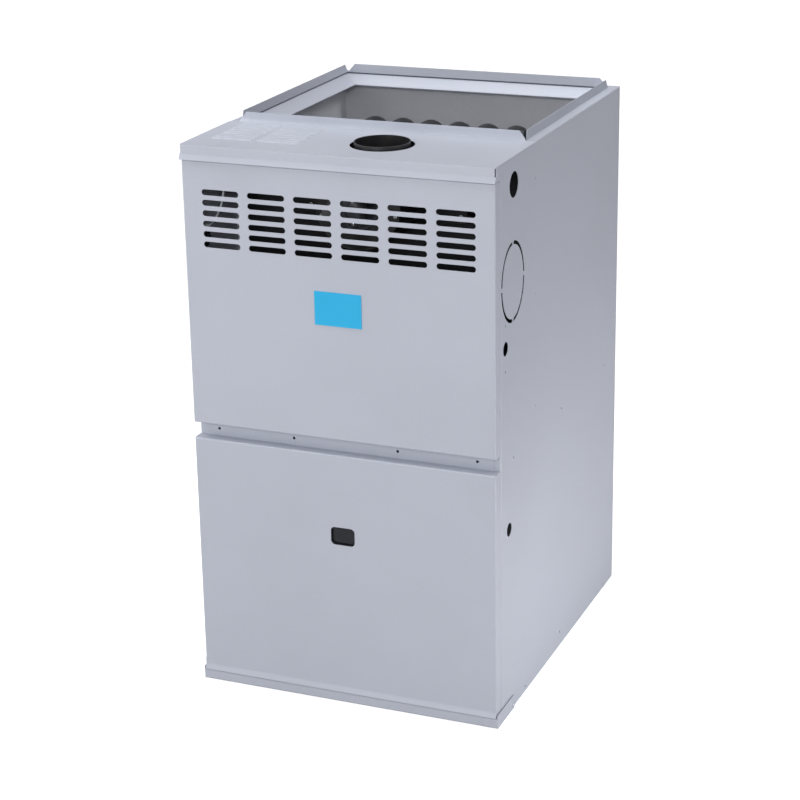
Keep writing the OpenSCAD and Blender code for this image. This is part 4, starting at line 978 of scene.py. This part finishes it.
def blower_vanes():
    """Forward-curved vanes between rolled end rings, on a pressed centre plate with its hub."""
    vanes, hub = Shape(), Shape()
    middle, count = (0, *BLOWER), 44
    for k in range(count):
        line = []
        for step in range(6):
            t = step / 5
            a = 2 * math.pi * k / count + 0.085 * t ** 1.8
            r = 113.6 + 12.6 * t
            line.append((r * math.cos(a), r * math.sin(a)))
        vanes.strip(line, 0.8, (-124, 124), "+x", middle)
    end_ring = [(113, 121), (114, 124.2), (116, 125), (125.4, 125), (127, 123.8), (127, 119.5),
                (126, 119.5), (126, 122.6), (124.6, 123.6), (116, 123.6), (114.2, 121)]
    for facing in ("-x", "+x"):
        vanes.turned(end_ring, middle, facing, 72, closed=True)
    vanes.turned([(14, 1), (40, 1), (46, 2.6), (60, 2.6), (66, 1), (126.4, 1), (126.4, -1), (66, -1),
                  (60, 0.6), (46, 0.6), (40, -1), (14, -1)], middle, "+x", 72, closed=True)
    hub.turned([(6.4, -14), (12.4, -14), (15, -12.4), (15, 12.4), (12.4, 14), (6.4, 14)],
               middle, "+x", 40, closed=True)
    hub.turned([(2.8, 14.4), (2.8, 18.6), (2.2, 19.4), (1.3, 19.4), (1.0, 17.8), (0, 17.8)],
               (8.5, *BLOWER), "+z", 4)
    piece("blower_vanes", vanes, "galvanised", "blower_rotor", ("blower_wheel",))
    piece("blower_hub", hub, "ground_steel", "blower_rotor")


def blower_housing_seams():
    """Bell-mouthed inlets, rolled seams and pressed ribs of the blower's scroll."""
    shape = Shape()
    small, large = 140, 200
    bell = [(116.5, 146), (113.4, 146.6), (111.4, 145.6), (109.6, 141), (108.8, 133), (109.6, 133),
            (110.6, 140.4), (112.4, 144.8), (116.5, 145)]
    seam = [(BLOWER[0] + u, BLOWER[1] + v) for u, v in fan_scroll(small, large, 40, 260)[:-3]]
    for side, facing in SIDES:
        shape.turned(bell, (0, *BLOWER), facing, 72, closed=True)
        shape.pipe([(145.6 * side, y, z) for y, z in seam], 1.9, 8)
        for turn in range(130, 331, 40):
            reach = scroll_radius(small, large, turn) - 9
            shape.pipe([(145.2 * side, *on_circle(BLOWER, r, turn))
                        for r in (122, 125, 0.5 * (125 + reach), reach - 3, reach)], 2.2, 10)
    piece("blower_housing_seams", shape, "galvanised")


def blower_motor_case():
    """Drawn shell with rolled ends, vents, through bolts and bearing boss."""
    case, dark, steel = Shape(), Shape(), Shape()
    left = 22
    case.turned([(6.5, 0.2), (13, 0.2), (14.4, 1.8), (22, 2.4), (25, 1), (48, 2.2), (58, 5), (64, 9.5),
                 (66.6, 15), (66.8, 18), (67.9, 18.6), (67.9, 91.4), (66.8, 92), (66.6, 95), (64, 100.5),
                 (58, 105.5), (48, 108.4), (25, 109.6), (22, 108), (14.4, 108.6), (13, 109.9), (0, 109.9)],
                (left, *BLOWER), "+x", 64)
    for turn in range(15, 360, 30):
        for heights in ((2.6, 5.0, 8.2), (107.6, 105.0, 101.6)):
            dark.pipe([(left + h, *on_circle(BLOWER, r, turn)) for h, r in zip(heights, (50, 57, 62.6))],
                      1.9, 8)
    for turn in (45, 135, 225, 315):
        steel.hex_screw((left + 108.4, *on_circle(BLOWER, 42, turn)), "+x", 3.6, 1.5)
    piece("blower_motor_case", case, "motor_paint", stands_for=("blower_motor",))
    piece("blower_motor_vents", dark, "black_plastic")
    piece("blower_motor_bolts", steel, "ground_steel")


def motor_mount_bolts():
    """The bolts of the mount's three arms, and its belly band's lugs and clamp bolt."""
    shape = Shape()
    for turn in (90, 210, 330):
        shape.hex_screw((149, *on_circle(BLOWER, 122, turn)), "+x", 4.4, 4)
    for y in (12, 24.6):
        shape.block((104, y, 300.6), (116, y + 3.4, 312), 0.6)
    shape.turned([(0, 0), (4.2, 0), (4.2, 3), (2.2, 3.2), (2.2, 24), (0, 24)], (110, 9, 306.5), "+y", 6)
    piece("motor_mount_bolts", shape, "black_steel")


def capacitor_fittings():
    """Rolled rim, terminal insulator and the strap with its bolt."""
    can, black = Shape(), Shape()
    foot = (167, -80, 0)
    can.turned([(18.9, 370.4), (19.6, 370.9), (19.8, 371.9), (19.2, 372.7), (18, 372.3)], foot, "+z", 48)
    can.turned([(19, 325), (19.9, 325.2), (19.9, 339.8), (19, 340)], foot, "+z", 48)
    can.hex_screw((155, -88, 332.5), "-y", 3.4, 3)
    black.turned([(0, 371.5), (13, 371.5), (13, 374), (12, 374.8), (0, 374.8)], foot, "+z", 36)
    piece("capacitor_strap", can, "capacitor_can")
    piece("capacitor_insulator", black, "black_plastic")


# ---------- controls ----------

def control_board_parts():
    """The board with its relays, terminal strip, plug, chip, lamp and small parts."""
    board, black, white, metal, lamp = Shape(), Shape(), Shape(), Shape(), Shape()
    face = -297
    board.block((-92, face, 275), (92, face + 1.6, 395), 0.25)
    for x, z in product((-84, 84), (283, 387)):
        white.turned([(3, -295.4), (3, -290)], (x, 0, z), "+y", 20)
        white.turned([(0, 0), (2.6, 0), (3.4, 1), (1.6, 3), (0, 3.4)], (x, face, z), "-y", 20)
    for k in range(4):
        x = -80 + 24 * k
        black.block((x, face - 16, 352), (x + 19, face + 0.2, 378), 1.3)
        white.block((x + 2, face - 1.2, 350.6), (x + 17, face + 0.2, 352.2), 0.3)
        for dx in (5, 14):
            metal.blade_terminal((x + dx - 2.4, face - 9, 383.6), (x + dx + 2.4, face + 0.2, 384.4))
    black.block((28, face - 6, 345), (80, face + 0.2, 362), 0.8)
    for k in range(6):
        black.block((28 + 10 * k, face - 12, 345), (29.6 + 10 * k, face - 4, 362), 0.3)
    for k in range(5):
        metal.block((31 + 10 * k, face - 7, 347.5), (36.8 + 10 * k, face - 5.5, 359.5), 0.3)
        metal.pan_screw((33.9 + 10 * k, face - 7, 353.5), "-y", 2.6, 2)
    white.block((-80, face - 9, 284), (-20, face - 7.4, 294), 0.4)
    for z0, z1 in ((284, 285.4), (292.6, 294)):
        white.block((-80, face - 9, z0), (-20, face + 0.2, z1), 0.4)
    for k in range(9):
        metal.pipe([(-76 + 6.5 * k, face, 289), (-76 + 6.5 * k, face - 8, 289)], 0.6, 8)
    black.block((20, face - 4, 300), (42, face - 0.8, 322), 0.5)
    for k in range(9):
        for x0, x1 in ((17.6, 20.4), (41.6, 44.4)):
            metal.block((x0, face - 1.6, 301.6 + 2.3 * k), (x1, face - 0.3, 302.6 + 2.3 * k), 0.15)
    for x, z, r, h in ((62, 318, 5, 12), (76, 318, 5, 12), (66, 296, 4, 9), (-48, 318, 4, 10)):
        black.turned([(0, 0), (r, 0), (r, h - 1.4), (r * 0.88, h - 0.6), (r, h - 0.2), (r * 0.9, h),
                      (0, h - 0.3)], (x, face, z), "-y", 28)
    for k in range(5):
        z = 304 + 5 * k
        white.turned([(0, 0), (1.5, 0.6), (1.2, 2), (1.2, 5), (1.5, 6.4), (0, 7)],
                     (-74, face - 1.6, z), "+x", 14)
        metal.pipe([(-77, face, z), (-77, face - 1.6, z), (-64, face - 1.6, z), (-64, face, z)], 0.3, 6)
    lamp.turned([(3, 0), (3.4, 0.2), (3.4, 1), (2.7, 1.2), (2.7, 5.6), (2.2, 7.2), (1.2, 8), (0, 8.2)],
                (-1.2, face, 326.5), "-y", 28)
    piece("board_laminate", board, "board_green", stands_for=("control_board",))
    piece("board_relays_and_strip", black, "black_plastic")
    piece("board_plug_and_posts", white, "white_plastic")
    piece("board_tabs_and_pins", metal, "ground_steel")
    piece("board_status_lamp", lamp, "red_plastic")


def transformer_parts():
    """A stack of laminations with a taped coil on its bobbin, hung from a foot."""
    core, tape, metal = Shape(), Shape(), Shape()
    for k in range(12):
        core.block((125, -305 + 3.35 * k, 424), (185, -301.9 + 3.35 * k, 472), 0.35)
    core.block((118, -301, 471), (192, -269, 473), 0.4)
    for x in (120, 190):
        core.block((x - 1.2, -300, 472.5), (x + 1.2, -270, 484), 0.4)
    core.block((120, -300, 481.5), (190, -270, 484), 0.6)
    tape.prism(rounded_outline(155, 448, 33, 27, 5), (252.2, 317.8), "-y", edge=2)
    for y in (253.4, 303.6, 264.6):
        core.prism(rounded_outline(155, 448, 36, 30, 3), (y, y + 1.8), "-y", edge=0.4)
    for x in (145, 155, 165):
        metal.blade_terminal((x - 3, -316, 461), (x + 3, -308, 461.8))
    for x, z in product((129, 181), (428, 468)):
        metal.hex_screw((x, -305, z), "-y", 3, 2.2)
    piece("transformer_core", core, "black_steel", stands_for=("transformer",))
    piece("transformer_coil", tape, "ceramic")
    piece("transformer_tabs", metal, "ground_steel")


def door_switch_fittings():
    """Tabs and screws of the door switch."""
    shape = Shape()
    for z in (452, 464):
        shape.blade_terminal((212, -294.8, z - 0.4), (218, -287, z + 0.4))
    for z in (450, 478):
        shape.pan_screw((204, -308, z), "-x", 2.6, 1.8)
    piece("door_switch_fittings", shape, "ground_steel")


def junction_box_knockouts():
    """Round knockouts and cover screws of the wiring box."""
    shape = Shape()
    front = -318
    for z in (338, 372):
        shape.turned([(0, 0.2), (9.4, 0.2), (9.8, 0.6), (10.4, 0.6), (10.8, 0)], (248, front, z), "-y", 36)
    for z in (319, 391):
        shape.hex_screw((274, front, z), "-y", 3.6, 3)
    piece("junction_box_knockouts", shape, "galvanised")


def bracket_screws():
    """The screws of the control board's bracket."""
    shape = Shape()
    for x, z in product((-97, 97), (276, 380, 470)):
        shape.hex_screw((x, -290, z), "-y", 3.8, 3.2)
    piece("bracket_screws", shape, "galvanised")


def add_pieces():
    for make in (cabinet_hex_screws, sight_glass_gasket, lower_door_liner, liner_pins, compartment_screws,
                 tube_flares, tube_collars, probe_terminals, rollout_fittings, limit_switch_fittings,
                 gas_valve_fittings, gas_manifold_fittings, inducer_motor_case, inducer_cooling_fan,
                 inducer_housing_seams, flue_collar_bead, pressure_switch_case, pressure_hose, blower_vanes,
                 blower_housing_seams, blower_motor_case, motor_mount_bolts, capacitor_fittings,
                 control_board_parts, transformer_parts, door_switch_fittings, junction_box_knockouts,
                 bracket_screws):
        make()


def finish_solids():
    """Every solid takes the finish of its material slot."""
    for part in frame["record"]["subparts"]:
        slots = NODES[part["node"]].data.materials
        slots.clear()
        slots.append(FINISHES[part["material_slot"]])


def lay_floor():
    """A wide round floor with its rim turned down."""
    radii, steps, drop = (1.0, 3.0, 9.0, 9.02), 96, 0.02
    points = [(r * math.cos(2 * math.pi * k / steps), r * math.sin(2 * math.pi * k / steps),
               -drop if r == radii[-1] else 0.0) for r in radii for k in range(steps)]
    faces = [tuple(range(steps))]
    for ring in range(len(radii) - 1):
        for k in range(steps):
            n = (k + 1) % steps
            faces.append((ring * steps + k, (ring + 1) * steps + k,
                          (ring + 1) * steps + n, ring * steps + n))
    mesh = bpy.data.meshes.new("studio_floor")
    mesh.from_pydata(points, [], faces)
    mesh.materials.append(FINISHES["floor_finish"])
    floor = placed("studio_floor", mesh)
    floor.location.z = cad_box[0][2]


finish_solids()
add_pieces()
lay_floor()
light_studio()
place_camera()
bpy.context.scene.view_settings.view_transform = "Standard"
